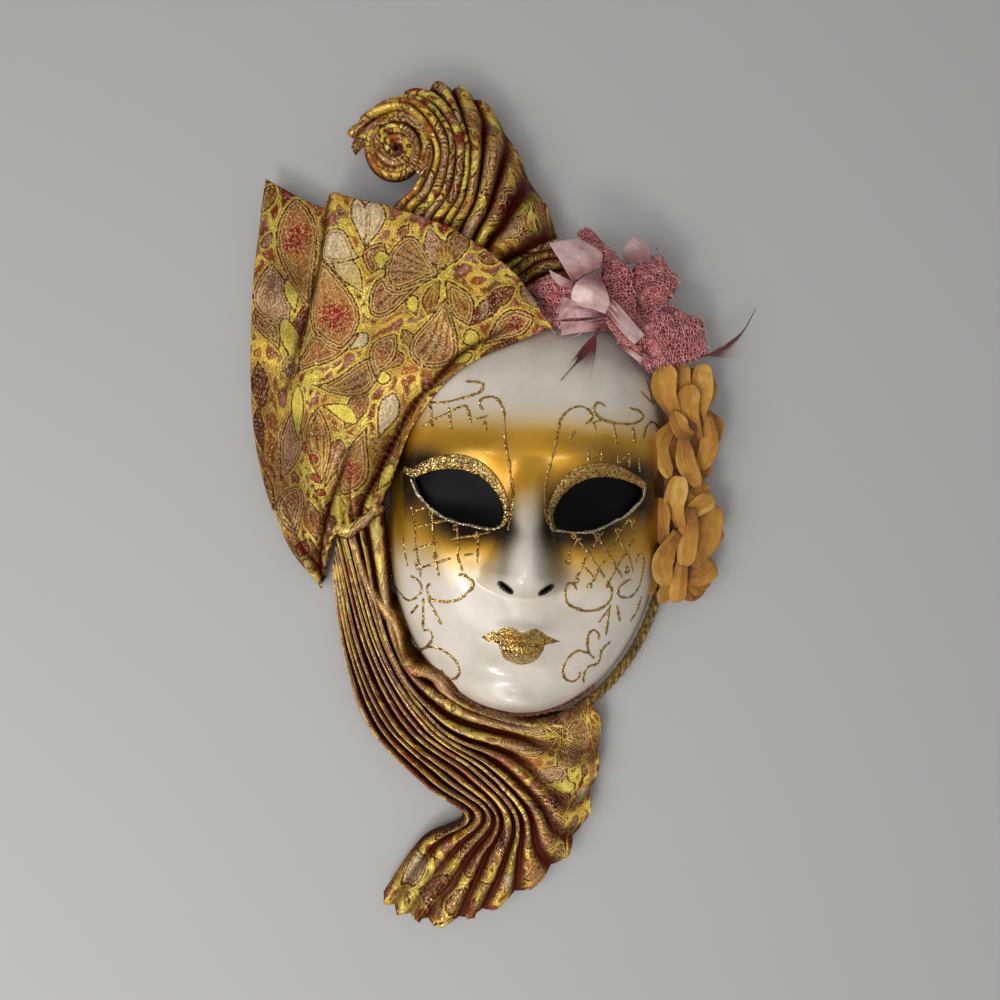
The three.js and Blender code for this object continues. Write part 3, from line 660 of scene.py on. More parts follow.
CURL = [
    [(-60, 108, 8), (-83, 163, 14), (-71, 181, 20), (-66, 199, 24), (-80, 215, 24), (-97, 206, 20),
     (-108, 197, 14)],
    [(-52, 110, 9), (-73, 157, 16), (-61, 179, 22), (-57, 201, 26), (-73, 221, 24), (-92, 224, 18),
     (-107, 217, 13)],
    [(-45, 113, 10), (-61, 153, 18), (-50, 178, 23), (-49, 203, 26), (-58, 222, 22), (-69, 232, 17),
     (-80, 234, 13)],
    [(-38, 115, 10), (-51, 150, 19), (-41, 175, 23), (-39, 200, 24), (-44, 219, 19), (-48, 230, 15),
     (-53, 241, 12)],
    [(-30, 117, 10), (-41, 146, 20), (-32, 172, 22), (-27, 194, 21), (-26, 209, 18), (-28, 218, 15),
     (-30, 226, 12)],
    [(-22, 118, 10), (-31, 144, 20), (-21, 163, 22), (-14, 180, 20), (-12, 187, 17), (-10, 191, 14),
     (-9, 194, 12)],
    [(-12, 118, 10), (-22, 139, 20), (-10, 148, 22), (-1, 153, 19), (4, 157, 16), (8, 159, 13),
     (11, 161, 11)],
]
# Creases of the fan: the path of each in x and y, its height change at its start, middle and end,
# its breadth, and how much higher the cloth stands on its right.
FAN_CREASES = [
    ([(-118, 172), (-120, 142), (-124, 118), (-131, 92), (-137, 66)], (-7, -7, -2), 2.4, (9, 5, 0)),
    ([(-113, 172), (-114, 147), (-117, 123), (-118, 99), (-119, 67), (-119, 42), (-118, 14), (-121, -6)],
     (4, 4.5, 4), 4.2, (0, 0, 0)),
    ([(-97, 36), (-101, 24), (-106, 9), (-111, -7), (-114, -24), (-113, -40)], (-2, -7, -6), 2.2,
     (0, 4, 3)),
    ([(-9, 107), (-24, 98), (-38, 89), (-49, 76), (-68, 53), (-82, 24), (-91, 2), (-93, -20)],
     (-2, -5, -8, -8, -7), 2.3, (-1, -1, -1)),
    ([(-50, 155), (-47, 129), (-50, 119), (-51, 108), (-43, 95)], (4.5, 5, 2), 4.0, (0, 0, 0)),
    ([(-152, 114), (-149, 52), (-146, 33), (-140, -8), (-127, -34)], (0.5, 2.6, 2.6), 3.6, (0, 0, 0)),
    ([(-86, 168), (-84, 140), (-88, 104), (-93, 74), (-101, 52)], (1.6, -1.6, 0), 4.5, (0, 0, 0)),
    ([(-22, 135), (-28, 112), (-36, 96)], (-1.8, -1.5, 0), 2.6, (0.8, 0, 0)),
    ([(-64, 45), (-77, 10), (-84, -14)], (2.2, 3, 2), 3.2, (0, 0, 0)),
    ([(-104, 20), (-106, -8), (-103, -32)], (0.5, 2, 2), 2.2, (0, 0, 0)),
    ([(-128, -4), (-118, -28), (-108, -44)], (0, -3, -4), 1.8, (0, 0, 0)),
]
# Ridge of the sweep's innermost pleat, which bulges over the edge of the face in two places, and how
# far the pattern is shifted on it.
RUFFLE = [
    (-99, -8), (-94, -20), (-88.5, -33), (-82, -45), (-73, -55), (-67, -66), (-65, -77), (-59.5, -84),
    (-52, -86), (-44, -90), (-39, -97), (-33, -102.5), (-21, -108), (-7, -112), (10, -114), (27, -113),
]
RUFFLE_SHIFT = (31, 47)
# Line of the fold that is wrapped over the gathers between the fan and the sweep.
TUCK = [(-107.5, -7, 20), (-101.5, -9.5, 24), (-96, -9.5, 26), (-89.5, -5, 27), (-84.5, 0, 25), (-81, 5, 20)]
# Pleats that fill the corner between the fan, the curl and the pink bow, darkened with painted shade.
UNDER = [
    [(-20.5, 144, 8), (-6.5, 152, 12), (7.5, 158.5, 14)], [(-16, 134, 8), (-0.5, 144, 15), (13, 147, 16)],
    [(-9.5, 123, 7), (4, 130.5, 12), (18.5, 136, 14)],
]
# Gathers at the fan's root, and for the other pieces where the valleys between their pleats are, as
# shares of the way over the guide lines.
FAN_GATHERS = 11
SWEEP_VALLEYS = [0, 0.08, 0.155, 0.23, 0.305, 0.38, 0.455, 0.53, 0.61, 0.71, 0.84, 1]
CURL_VALLEYS = [0, 0.08, 0.16, 0.24, 0.32, 0.4, 0.48, 0.58, 0.7, 0.84, 1]
UNDER_VALLEYS = [0, 0.25, 0.5, 0.75, 1]
# Rosette at the end of the curl: its centre, radius, rise and the breadth of one turn.
ROLL = {"x": -81, "y": 198, "z": 20, "radius": 18, "height": 9, "pitch": 5.5}
# Thickness of the cloth, and how far over the face its folds stay.
CLOTH = {"thickness": 1.0, "clearance": 2.9}


def motif_outline(tip, head, width, bend, kind):
    """Closed outline of a drop or leaf: a bent axis with half width sin(pi t^k)^p to each side."""
    tip, run = np.array(tip, float), np.subtract(head, tip).astype(float)
    side = np.array([-run[1], run[0]]) / np.linalg.norm(run)
    t = (1 - np.cos(np.linspace(0, np.pi, 15)))[:, None] / 2
    axis = tip + t * run + 4 * t * (1 - t) * bend * side
    skew, blunt = SHAPES.get(kind, LEAF)
    half = width / 2 * np.sin(np.pi * np.clip(t, 0, 0.9999) ** skew) ** blunt
    return np.concatenate([axis + half * side, (axis - half * side)[-2:0:-1]])


def weave(x, y, motifs, tile):
    """Values of the woven pattern at points of the flat cloth: distance to the nearest outline,
    negative inside a motif, and there the place along and beside its axis, its breadth, colours and
    marks. A motif lies under those before it in the list; with a tile they repeat."""
    if tile:
        x, y = x % tile[0], y % tile[1]
    moves = [(i * tile[0], j * tile[1]) for i in (-1, 0, 1) for j in (-1, 0, 1)] if tile else [(0, 0)]
    count = len(x)
    names = ("place", "tip_tone", "head_tone", "core_tone", "line_tone", "marks")
    values = {"edge": np.full(count, 1e3), "breadth": np.ones(count)}
    values.update({name: np.zeros((count, 3)) for name in names})
    for tip, head, width, bend, kind in motifs:
        tones = [linear(code)[:3] for code in KINDS[kind][:4]]
        for move in moves:
            a, b = np.add(tip, move), np.add(head, move)
            length = np.linalg.norm(b - a)
            reach = width + length / 2 + 12
            middle = (a + b) / 2
            near = np.nonzero((np.abs(x - middle[0]) < reach) & (np.abs(y - middle[1]) < reach))[0]
            if len(near) == 0:
                continue
            away = outline_distance(x[near], y[near], motif_outline(a, b, width, bend, kind))
            before = values["edge"][near]
            seen = (before > 0) & (away < before)
            near, away, before = near[seen], away[seen], before[seen]
            values["edge"][near] = np.where(away < 0, np.maximum(away, -before), away)
            run = (b - a) / length
            dx, dy = x[near] - a[0], y[near] - a[1]
            along = np.clip(dx * run[0] + dy * run[1], 0, length)
            bow = 4 * along / length * (1 - along / length) * bend
            aside = dy * run[0] - dx * run[1] - bow
            values["place"][near] = np.stack([along, aside, np.full(len(near), length)], 1)
            values["breadth"][near] = width / 2
            for name, tone in zip(names[1:], tones + [KINDS[kind][4:]]):
                values[name][near] = tone
    values["edge"] = np.minimum(values["edge"], 12)
    return values


def stripes(*bands, soft=0.02):
    """Stops of a colour ramp: bands of a tone on black, each with its start and end and soft edges."""
    stops = []
    for start, end, tone in bands:
        stops += [(start - soft, "#000000"), (start, tone), (end, tone), (end + soft, "#000000")]
    return stops


def brocade():
    """Woven brocade: a yellow-green satin ground, and drops, leaves and petals with brown outlines,
    filled in brown, wine red, mauve and silver, all of fine metallic thread. The fold value paints
    shade into its folds and highlights on their crests. Its uv is in millimetres."""
    material, shader, add = new_material("woven brocade")
    uv = add("UVMap", {}, uv_map="UVMap")
    place, marks, tip_tone, head_tone, core_tone, line_tone = (
        add("Attribute", {}, attribute_name=name).outputs["Vector"]
        for name in ("place", "marks", "tip_tone", "head_tone", "core_tone", "line_tone"))
    distance, breadth, fold = (
        add("Attribute", {}, attribute_name=name).outputs["Fac"] for name in ("edge", "breadth", "fold"))
    along, aside, length = add("SeparateXYZ", {0: place}).outputs
    rings, rays, stipple = add("SeparateXYZ", {0: marks}).outputs

    # Threads, drawn at 0.75 mm where the real ones are 0.3 mm. The outlines waver by a fraction of a
    # millimetre and colours meet in single threads, as woven steps do.
    threads = add("TexVoronoi", {"Vector": uv, "Scale": 1 / 0.75}, voronoi_dimensions="2D")
    chances = add("SeparateColor", {"Color": threads.outputs["Color"]}).outputs
    waver = add("TexNoise", {"Vector": uv, "Scale": 1 / 2.2, "Detail": 2.0}, noise_dimensions="2D")
    swing = add("MapRange", {"Value": waver, "To Min": -0.7, "To Max": 0.7})
    edge = add("Math", {0: distance, 1: swing}, operation="ADD")
    inside = add("MapRange", {"Value": edge, "From Min": 0.2, "From Max": -0.2})

    # Body of a motif: from the tip's colour to the head's, and the core's round its heart, two
    # thirds of the way along.
    share = add("Math", {0: along, 1: length}, operation="DIVIDE")
    mingled = add("Math", {0: chances[0], 1: 0.6, 2: share}, operation="MULTIPLY_ADD")
    to_head = add("MapRange", {"Value": mingled, "From Min": 0.74, "From Max": 0.84})
    body = add("Mix", {0: to_head, 6: tip_tone, 7: head_tone}, data_type="RGBA")
    beyond = add("Math", {0: length, 1: -0.66, 2: along}, operation="MULTIPLY_ADD")
    offset = add("CombineXYZ", {"X": beyond, "Y": aside})
    from_heart = add("VectorMath", {0: offset}, operation="LENGTH").outputs["Value"]
    in_breadths = add("Math", {0: from_heart, 1: breadth}, operation="DIVIDE")
    speckled = add("Math", {0: chances[1], 1: 0.5, 2: in_breadths}, operation="MULTIPLY_ADD")
    to_core = add("MapRange", {"Value": speckled, "From Min": 0.88, "From Max": 0.74})
    motif = add("Mix", {0: to_core, 6: body, 7: core_tone}, data_type="RGBA")

    # Lines inside it: rays from its tip and rings along its outline.
    forward = add("Math", {0: along, 1: 3.0}, operation="ADD")
    angle = add("Math", {0: aside, 1: forward}, operation="ARCTAN2")
    families = []
    for measure, pace, start, strength in ((angle, 38.0, 0.0, rays), (edge, math.pi, 0.1, rings)):
        phase = add("Math", {0: measure, 1: pace}, operation="MULTIPLY")
        wave = add("Math", {0: phase}, operation="SINE")
        line = add("MapRange", {"Value": wave, "From Min": start, "From Max": 0.7, "To Max": 0.85})
        families.append(add("Math", {0: line, 1: strength}, operation="MULTIPLY"))
    lines = add("Math", {0: families[0], 1: families[1]}, operation="MAXIMUM")
    motif = add("Mix", {0: lines, 6: motif, 7: line_tone}, data_type="RGBA")

    # Pale flecks on it, and borders on the larger ones, by distance from the outline: pale cords
    # between brown lines, over a span of 12 mm with the outline in its middle.
    fleck = add("MapRange", {"Value": chances[1], "From Min": 0.62, "From Max": 0.7, "To Max": 0.6})
    ruler = add("MapRange", {"Value": edge, "From Min": -6.0, "From Max": 6.0})
    large = add("MapRange", {"Value": breadth, "From Min": 5.0, "From Max": 7.0})
    cord = add("ValToRGB", {"Fac": ruler}, stops=stripes((0.27, 0.3, "#dddddd"), (0.405, 0.435, "#dddddd")))
    rule = add("ValToRGB", {"Fac": ruler}, stops=stripes((0.345, 0.36, "#ffffff")))
    for mark, amount, tone in (
            (fleck, stipple, "#cdb57c"), (cord, large, "#bf9f5e"), (rule, large, "#5e3218")):
        marked = add("Math", {0: mark, 1: amount}, operation="MULTIPLY")
        motif = add("Mix", {0: marked, 6: motif, 7: tone}, data_type="RGBA")

    # Ground: yellow-green satin with small tan and mauve shapes a few millimetres from the motifs.
    patch = add("TexNoise", {"Vector": uv, "Scale": 1 / 30, "Detail": 1.0}, noise_dimensions="2D")
    satin = add("ValToRGB", {"Fac": patch}, stops=[(0.35, "#b68c3a"), (0.5, "#cba844"), (0.65, "#d2bc50")])
    small = add("TexNoise", {"Vector": uv, "Scale": 1 / 11, "Detail": 0.5}, noise_dimensions="2D")
    tones = add("ValToRGB", {"Fac": patch}, stops=[
        (0.4, "#965620"), (0.47, "#863f1a"), (0.53, "#9c6a5a"), (0.6, "#7c2a14")])
    shapes = add("ValToRGB", {"Fac": small}, stops=[
        (0.33, "#ffffff"), (0.34, "#000000"), (0.575, "#000000"), (0.585, "#ffffff")])
    apart = add("MapRange", {"Value": edge, "From Min": 1.6, "From Max": 2.2})
    strewn = add("Math", {0: shapes, 1: apart}, operation="MULTIPLY")
    filled = add("Mix", {0: strewn, 6: satin, 7: tones}, data_type="RGBA")
    borders = add("ValToRGB", {"Fac": small}, stops=stripes(
        (0.345, 0.36, "#ffffff"), (0.55, 0.565, "#ffffff"), (0.63, 0.64, "#ffffff"), soft=0.01))
    bordered = add("Math", {0: borders, 1: apart}, operation="MULTIPLY")
    echo = add("ValToRGB", {"Fac": ruler}, stops=stripes((0.62, 0.64, "#cccccc"), (0.76, 0.78, "#aaaaaa")))
    strokes = add("Math", {0: bordered, 1: echo}, operation="MAXIMUM")
    ground = add("Mix", {0: strokes, 6: filled, 7: "#5e3414"}, data_type="RGBA")

    # Outline, with threads left out of it.
    pattern = add("Mix", {0: inside, 6: ground, 7: motif}, data_type="RGBA")
    outline = add("ValToRGB", {"Fac": ruler}, stops=stripes((0.47, 0.53, "#ffffff"), soft=0.025))
    kept = add("MapRange", {"Value": chances[2], "From Min": 0.2, "From Max": 0.3, "To Min": 0.35})
    dashes = add("Math", {0: outline, 1: kept}, operation="MULTIPLY")
    drawn = add("Mix", {0: dashes, 6: pattern, 7: "#4a220e"}, data_type="RGBA")

    # Each thread is a little lighter or darker. Painted shade darkens the folds, and painted highlights make
    # their crests pale and glinting.
    shade = add("MapRange", {"Value": chances[0], "To Min": 0.62, "To Max": 1.34})
    lift = add("MapRange", {"Value": fold, "From Min": 0.5, "To Min": 0.62, "To Max": 1.5})
    lit = add("Math", {0: shade, 1: lift}, operation="MULTIPLY")
    tone = add("VectorMath", {0: drawn, "Scale": lit}, operation="SCALE")
    # The three mixes below are painted light and shade: a pale sheen on the crests, dark in the valleys, and
    # glinting highlights on the crests.
    crest_sheen = add("MapRange", {"Value": fold, "From Min": 0.9, "To Max": 0.24})
    deep = add("MapRange", {"Value": fold, "From Min": 0.8, "From Max": 0.1})
    crest = add("MapRange", {"Value": fold, "From Min": 0.25, "To Max": 0.75})
    bright = add("MapRange", {"Value": chances[2], "From Min": 0.9, "From Max": 0.94})
    glint = add("Math", {0: bright, 1: crest}, operation="MULTIPLY")
    for amount, colour in ((crest_sheen, "#d8bc9a"), (deep, "#460f02"), (glint, "#f2dca4")):
        tone = add("Mix", {0: amount, 6: tone, 7: colour}, data_type="RGBA")
    relief = add("Math", {0: inside, 1: 0.5, 2: chances[0]}, operation="MULTIPLY_ADD")
    bump = add("Bump", {"Height": relief, "Strength": 0.5, "Distance": 0.0004})
    metal = add("MapRange", {"Value": glint, "To Min": 0.25, "To Max": 0.8})
    rough = add("MapRange", {"Value": glint, "To Min": 0.5, "To Max": 0.3})
    put(shader, {
        "Base Color": tone, "Metallic": metal, "Roughness": rough, "Normal": bump, "Specular IOR Level": 0.12,
    })
    return material


def pressed(within, crest, round_off=0.14):
    """Height across a pressed pleat: straight up to its crest and down again, slightly rounded."""
    away = 1 - np.where(within < crest, within / crest, (1 - within) / (1 - crest))
    return 1 - (np.hypot(away, round_off) - round_off) / (math.hypot(1, round_off) - round_off)


def wrinkles(x, y, size, seed):
    """Soft unevenness: five sine waves of lengths round a size, in directions drawn by chance."""
    draw = np.random.default_rng(seed)
    total = 0
    for _ in range(5):
        angle, phase = draw.uniform(0, np.pi), draw.uniform(0, 2 * np.pi)
        length = size * draw.uniform(0.6, 1.7)
        total = total + np.sin((x * np.cos(angle) + y * np.sin(angle)) * 2 * np.pi / length + phase)
    return total / 5


def crease_field(x, y, path, amounts, breadth, steps):
    """Height change of a crease, and the painted shade in it as its share of full depth: amount
    e^(-d/breadth) at a distance d from its path, and a step up on the path's right, both fading in from the
    ends."""
    places = np.linspace(0, 1, 60)
    line = spline(path, places)
    dx, dy = x[..., None] - line[:, 0], y[..., None] - line[:, 1]
    nearest = (dx ** 2 + dy ** 2).argmin(-1)
    run = np.gradient(line, axis=0)
    run /= np.linalg.norm(run, axis=1)[:, None]
    dx, dy = x - line[nearest, 0], y - line[nearest, 1]
    along = np.abs(dx * run[nearest, 0] + dy * run[nearest, 1])
    away = dy * run[nearest, 0] - dx * run[nearest, 1]
    s = places[nearest]
    amount = np.interp(s, np.linspace(0, 1, len(amounts)), amounts)
    step = np.interp(s, np.linspace(0, 1, len(steps)), steps)
    fall = np.exp(-np.hypot(away, along) / breadth)
    rise = step * (smoothstep(away, -1.2, 1.2) - 0.5) * np.exp(-np.abs(away) / 16 - along / 6)
    # Painted shade in the crease's valley, for its negative amounts.
    dip = np.maximum(-amount, 0) / 8 * np.exp(-(np.hypot(away, along) / breadth) ** 2)
    return amount * fall + rise, dip


def flat_cloth(points):
    """Lengths along and across a cloth grid as its flat uv in millimetres, the same width in every
    row, and the flat width and length."""
    along, across = lengths(points).mean(1), lengths(points, 1)
    width = across[:, -1].max()
    uv = np.stack([across / across[:, -1:] * width, np.broadcast_to(along[:, None], across.shape)], -1)
    return uv, (width, along[-1])


def woven(points, uv, fold, place=None, motifs=TILE_MOTIFS, tile=TILE):
    """Surface of a cloth grid with its pattern, read on its flat uv or at another place."""
    place = uv if place is None else place
    values = weave(place[..., 0].ravel(), place[..., 1].ravel(), motifs, tile)
    flat = surface(points, uv=uv, fold=fold)
    flat.update({name: value.reshape(len(flat["points"]), -1) for name, value in values.items()})
    return flat


def fan_cloth(rows=210, columns=200):
    """The large fan: guide lines with the creases traced on it, fine gathers at its root."""
    u, t = np.broadcast_arrays(*grid(rows, columns))
    points = net(FAN, u, t)
    x, y = points[..., 0], points[..., 1]
    # Two sums follow: the height added by creases, gathers and unevenness, and the painted shade that lowers
    # the fold value, darker in the creases and between the gathers, on the left panel and the lower part, and
    # in soft broad waves.
    lift, painted_shade = 0, 0
    for path, amounts, breadth, steps in FAN_CREASES:
        rise, dip = crease_field(x, y, path, amounts, breadth, steps)
        lift, painted_shade = lift + rise, painted_shade + dip
    gathers = np.abs(np.sin(np.pi * t * FAN_GATHERS)) ** 0.6
    root = smoothstep(u, 0.3 + 0.12 * np.sin(t * 21), 0.0)
    lift = lift + root * (5.0 * gathers - 2.2)
    painted_shade = painted_shade + 0.5 * root * smoothstep(gathers, 0.8, 0.25)
    painted_shade = painted_shade + 0.2 * smoothstep(x, -116, -130) + 0.16 * smoothstep(y, 70, 30)
    painted_shade = painted_shade + 0.24 * wrinkles(x, y, 34, 8)
    uneven = wrinkles(x, y, 26, 3) * 0.7 + wrinkles(x, y, 9, 4) * 0.22
    cut = smoothstep(u, 0.97, 1.0) * -1.2
    rest = np.maximum(points[..., 2], face_height(x, y) + CLOTH["clearance"])
    points[..., 2] = np.maximum(rest + lift + uneven + cut, face_height(x, y) + 1.6)
    uv, size = flat_cloth(points)
    return woven(points, uv, 0.87 * np.clip(1 - painted_shade, 0, 1), points, FAN_MOTIFS, None), size


def pleated_cloth(guides, valleys, heights, rows, cut, seed, samples=12, drop=0.0, spreads=()):
    """Cloth over guide lines: each pleat is a pressed ridge between two valleys, uneven by chance, and
    cut pushes the ridges past the valleys at the cut edge in points. Spreads say where the pleats
    open to a nearly flat sheet: from and to across the cloth, then along it, and by how much."""
    valleys = np.asarray(valleys, float)
    draw = np.random.default_rng(seed)
    phase = (np.arange((len(valleys) - 1) * samples + 1) / samples)[None, :]
    fold = np.minimum(phase.astype(int), len(valleys) - 2)
    t = valleys[fold] + (valleys[fold + 1] - valleys[fold]) * (phase - fold)
    u = np.linspace(0, 1, rows)[:, None]
    u, t, phase = np.broadcast_arrays(u, t, phase)
    sway = draw.uniform(-0.017, 0.017, (len(valleys), 5))
    wander = np.stack([blend(line, u[:, 0]) for line in sway], 1)
    near = np.clip(np.round(phase).astype(int), 0, len(valleys) - 1)
    t = np.clip(t + np.take_along_axis(wander, near, 1) * np.sin(np.pi * t), 0, 1)
    points = net(guides, u, t)
    ridge = pressed(phase - fold, round(0.58 * samples) / samples)
    point = 1 - np.abs(2 * (phase - fold) - 1)
    flat = np.ones_like(u)
    for side_from, side_to, end_from, end_to, amount in spreads:
        flat = flat - amount * smoothstep(t, side_from, side_to) * smoothstep(u, end_from, end_to)
    run = np.gradient(points, axis=0)
    run /= np.linalg.norm(run, axis=2)[..., None]
    stray = draw.uniform(-0.7, 1.0, len(valleys))[np.broadcast_to(fold, u.shape)]
    push = cut * (point * (0.6 + 0.4 * stray) - 0.5) * smoothstep(u, 0.8, 1.0) ** 2
    points = points + run * push[..., None]
    x, y = points[..., 0], points[..., 1]
    rest = np.maximum(points[..., 2] - drop, face_height(x, y) + CLOTH["clearance"])
    tall = draw.uniform(0.6, 1.25, (len(valleys), 6))
    vary = np.stack([blend(line, u[:, 0]) for line in tall], 1)
    height = blend(heights, u) * np.take_along_axis(vary, np.broadcast_to(fold, u.shape), 1)
    uneven = wrinkles(x, y, 16, seed) * 0.45 + wrinkles(x, y, 6, seed + 1) * 0.25
    points[..., 2] = rest + height * ridge * flat + uneven * smoothstep(u, 0.0, 0.5) * (2 - flat)
    uv, size = flat_cloth(points)
    # Painted light and shade: the fold value is low in the valleys and high on the crests, with less contrast
    # where the pleats spread open.
    shown = (0.2 + 0.8 * flat) * (1 - 0.1 * smoothstep(u, 0.8, 1.0))
    pale = (1 - (1 - smoothstep(ridge, 0.2, 0.8)) * shown) * (0.8 + 0.2 * flat)
    return woven(points, uv, pale), size


def face_ruffle(rows=300, columns=15):
    """Inner pleat of the sweep against the face: a ridge along a wavy line that falls to the face
    on its inner side."""
    s, v = grid(rows, columns, -1)
    breadth = (4.2 + 0.8 * np.sin(s * 31)) * (0.35 + 0.65 * smoothstep(s, 0.0, 0.2))
    inner, outer = np.maximum(v, 0), np.minimum(v, 0)
    x, y = beside(spline(RUFFLE, s[:, 0]), breadth * (1.25 * inner + 1.5 * outer))
    z = blend([15, 18.5, 20, 18.5, 21, 17, 15.5, 15, 14], s) - 6.5 * outer ** 2 - 1.5 * inner
    foot = face_height(x, y) + 0.4
    z = z * (1 - inner ** 1.6) + foot * inner ** 1.6
    z = np.maximum(z, foot) + 0.3 * wrinkles(x, y, 5, 12)
    points = np.stack([x, y, z], -1)
    uv, _ = flat_cloth(points)
    # Painted shade: the fold value falls on both sides of the ridge, most on the outer side.
    fold = np.clip(1 - 0.75 * smoothstep(v, 0.1, 0.6) - smoothstep(v, -0.5, -1.0), 0, 1) + 0 * z
    return woven(points, uv, fold, uv + RUFFLE_SHIFT)


def tuck(rows=60, columns=14):
    """Plain fold of the cloth wrapped over the gathers where the fan meets the sweep."""
    u, v = np.broadcast_arrays(*grid(rows, columns, -1))
    line = spline(TUCK, u[:, 0])
    breadth = 4.2 + 1.2 * np.sin(7 * u) + 0.5 * np.sin(23 * u)
    x, y = beside(line, breadth * v)
    z = line[:, 2:] - 5.0 * np.abs(v) ** 2.4 + 0.8 * np.sin(np.pi * (v * 1.5 + 2 * u)) * (1 - v ** 2)
    points = np.stack([x, y, z], -1)
    # Painted shade: the fold value falls towards both edges of the tuck.
    fold = np.clip(1.1 - np.abs(v) ** 3, 0, 1)
    uv = np.stack([55 + breadth * v, 12 + 55 * u], -1)
    return woven(points, uv, fold)


def rolled_end():
    """Rosette: a strip wound in a spiral on a low dome, its section a ridge sin^0.6."""
    turns = ROLL["radius"] / ROLL["pitch"]
    theta = np.linspace(0.08, turns, 420)[:, None]
    v = np.linspace(0, 1, 14)[None, :]
    wobble = 1 + 0.06 * np.sin(theta * 11.3) + 0.05 * np.sin(theta * 4.7 + 1)
    r = ROLL["pitch"] * (theta + v - 0.5) * wobble
    angle = -2 * np.pi * theta + 0.9
    dome = np.sqrt(np.clip(1 - (r / (ROLL["radius"] + 4)) ** 2, 0, 1))
    ridge = np.sin(np.pi * v) ** 0.6 * (1 - 0.5 * np.exp(-(((v - 0.45) / 0.1) ** 2))) * np.ones_like(theta)
    z = ROLL["z"] + ROLL["height"] * dome + 3.8 * ridge - 5.0 * np.exp(-((r / 3.2) ** 2))
    points = np.stack([ROLL["x"] + r * np.cos(angle), ROLL["y"] + r * np.sin(angle), z], -1)
    along = lengths(points).mean(1)
    uv = np.stack([40 + 9 * v * np.ones_like(theta), np.broadcast_to(along[:, None], ridge.shape)], -1)
    # Painted shade: the fold value is low between the turns and at the centre of the rosette.
    flat = woven(points, uv, np.clip(ridge * 1.15 - 0.2, 0, 1) * smoothstep(r, 0.5, 5))
    flat["faces"] = flat["faces"][:, ::-1]
    return flat


def build_brocade():
    """The fan, the sweep round the jaw with its ruffle and tuck, and the curl with its rosette and
    the pleats under it."""
    cloth = brocade()
    fan, fan_size = fan_cloth()
    sweep, sweep_size = pleated_cloth(
        SWEEP, SWEEP_VALLEYS, [6.5, 8.0, 8.0, 6.5, 3.0], rows=330, cut=6.5, seed=5, drop=2.2,
        spreads=[(0.5, 0.75, 0.42, 0.7, 0.75), (0.34, 0.1, 0.8, 0.93, 0.6)])
    # Painted shade: the fold value is lowered towards the end of the sweep's tail, over the whole curl, and
    # more on the pleats under it.
    sweep["fold"] = sweep["fold"] * (1 - 0.22 * smoothstep(sweep["points"][:, 1:2], -150, -190))
    curl, curl_size = pleated_cloth(
        CURL, CURL_VALLEYS, [7.0, 8.5, 8.0, 4.5], rows=240, cut=6.5, seed=7, drop=2.0,
        spreads=[(0.5, 0.7, 0.5, 0.8, 0.45), (0.3, 0.1, 0.85, 0.95, 0.5)])
    curl["fold"] = curl["fold"] * 0.8
    under, _ = pleated_cloth(UNDER, UNDER_VALLEYS, [2.5, 3.5, 3.0], rows=60, cut=3.0, seed=11)
    under["fold"] = under["fold"] * 0.6
    for name, size, parts in (
            ("fan", fan_size, [fan]), ("sweep", sweep_size, [sweep, face_ruffle(), tuck()]),
            ("curl", curl_size, [curl, rolled_end(), under])):
        whole = joined(parts)
        title = f"brocade_{name}_cloth"
        piece = add_piece(title, whole, [cloth], ["brocade_" + name], CLOTH["thickness"])


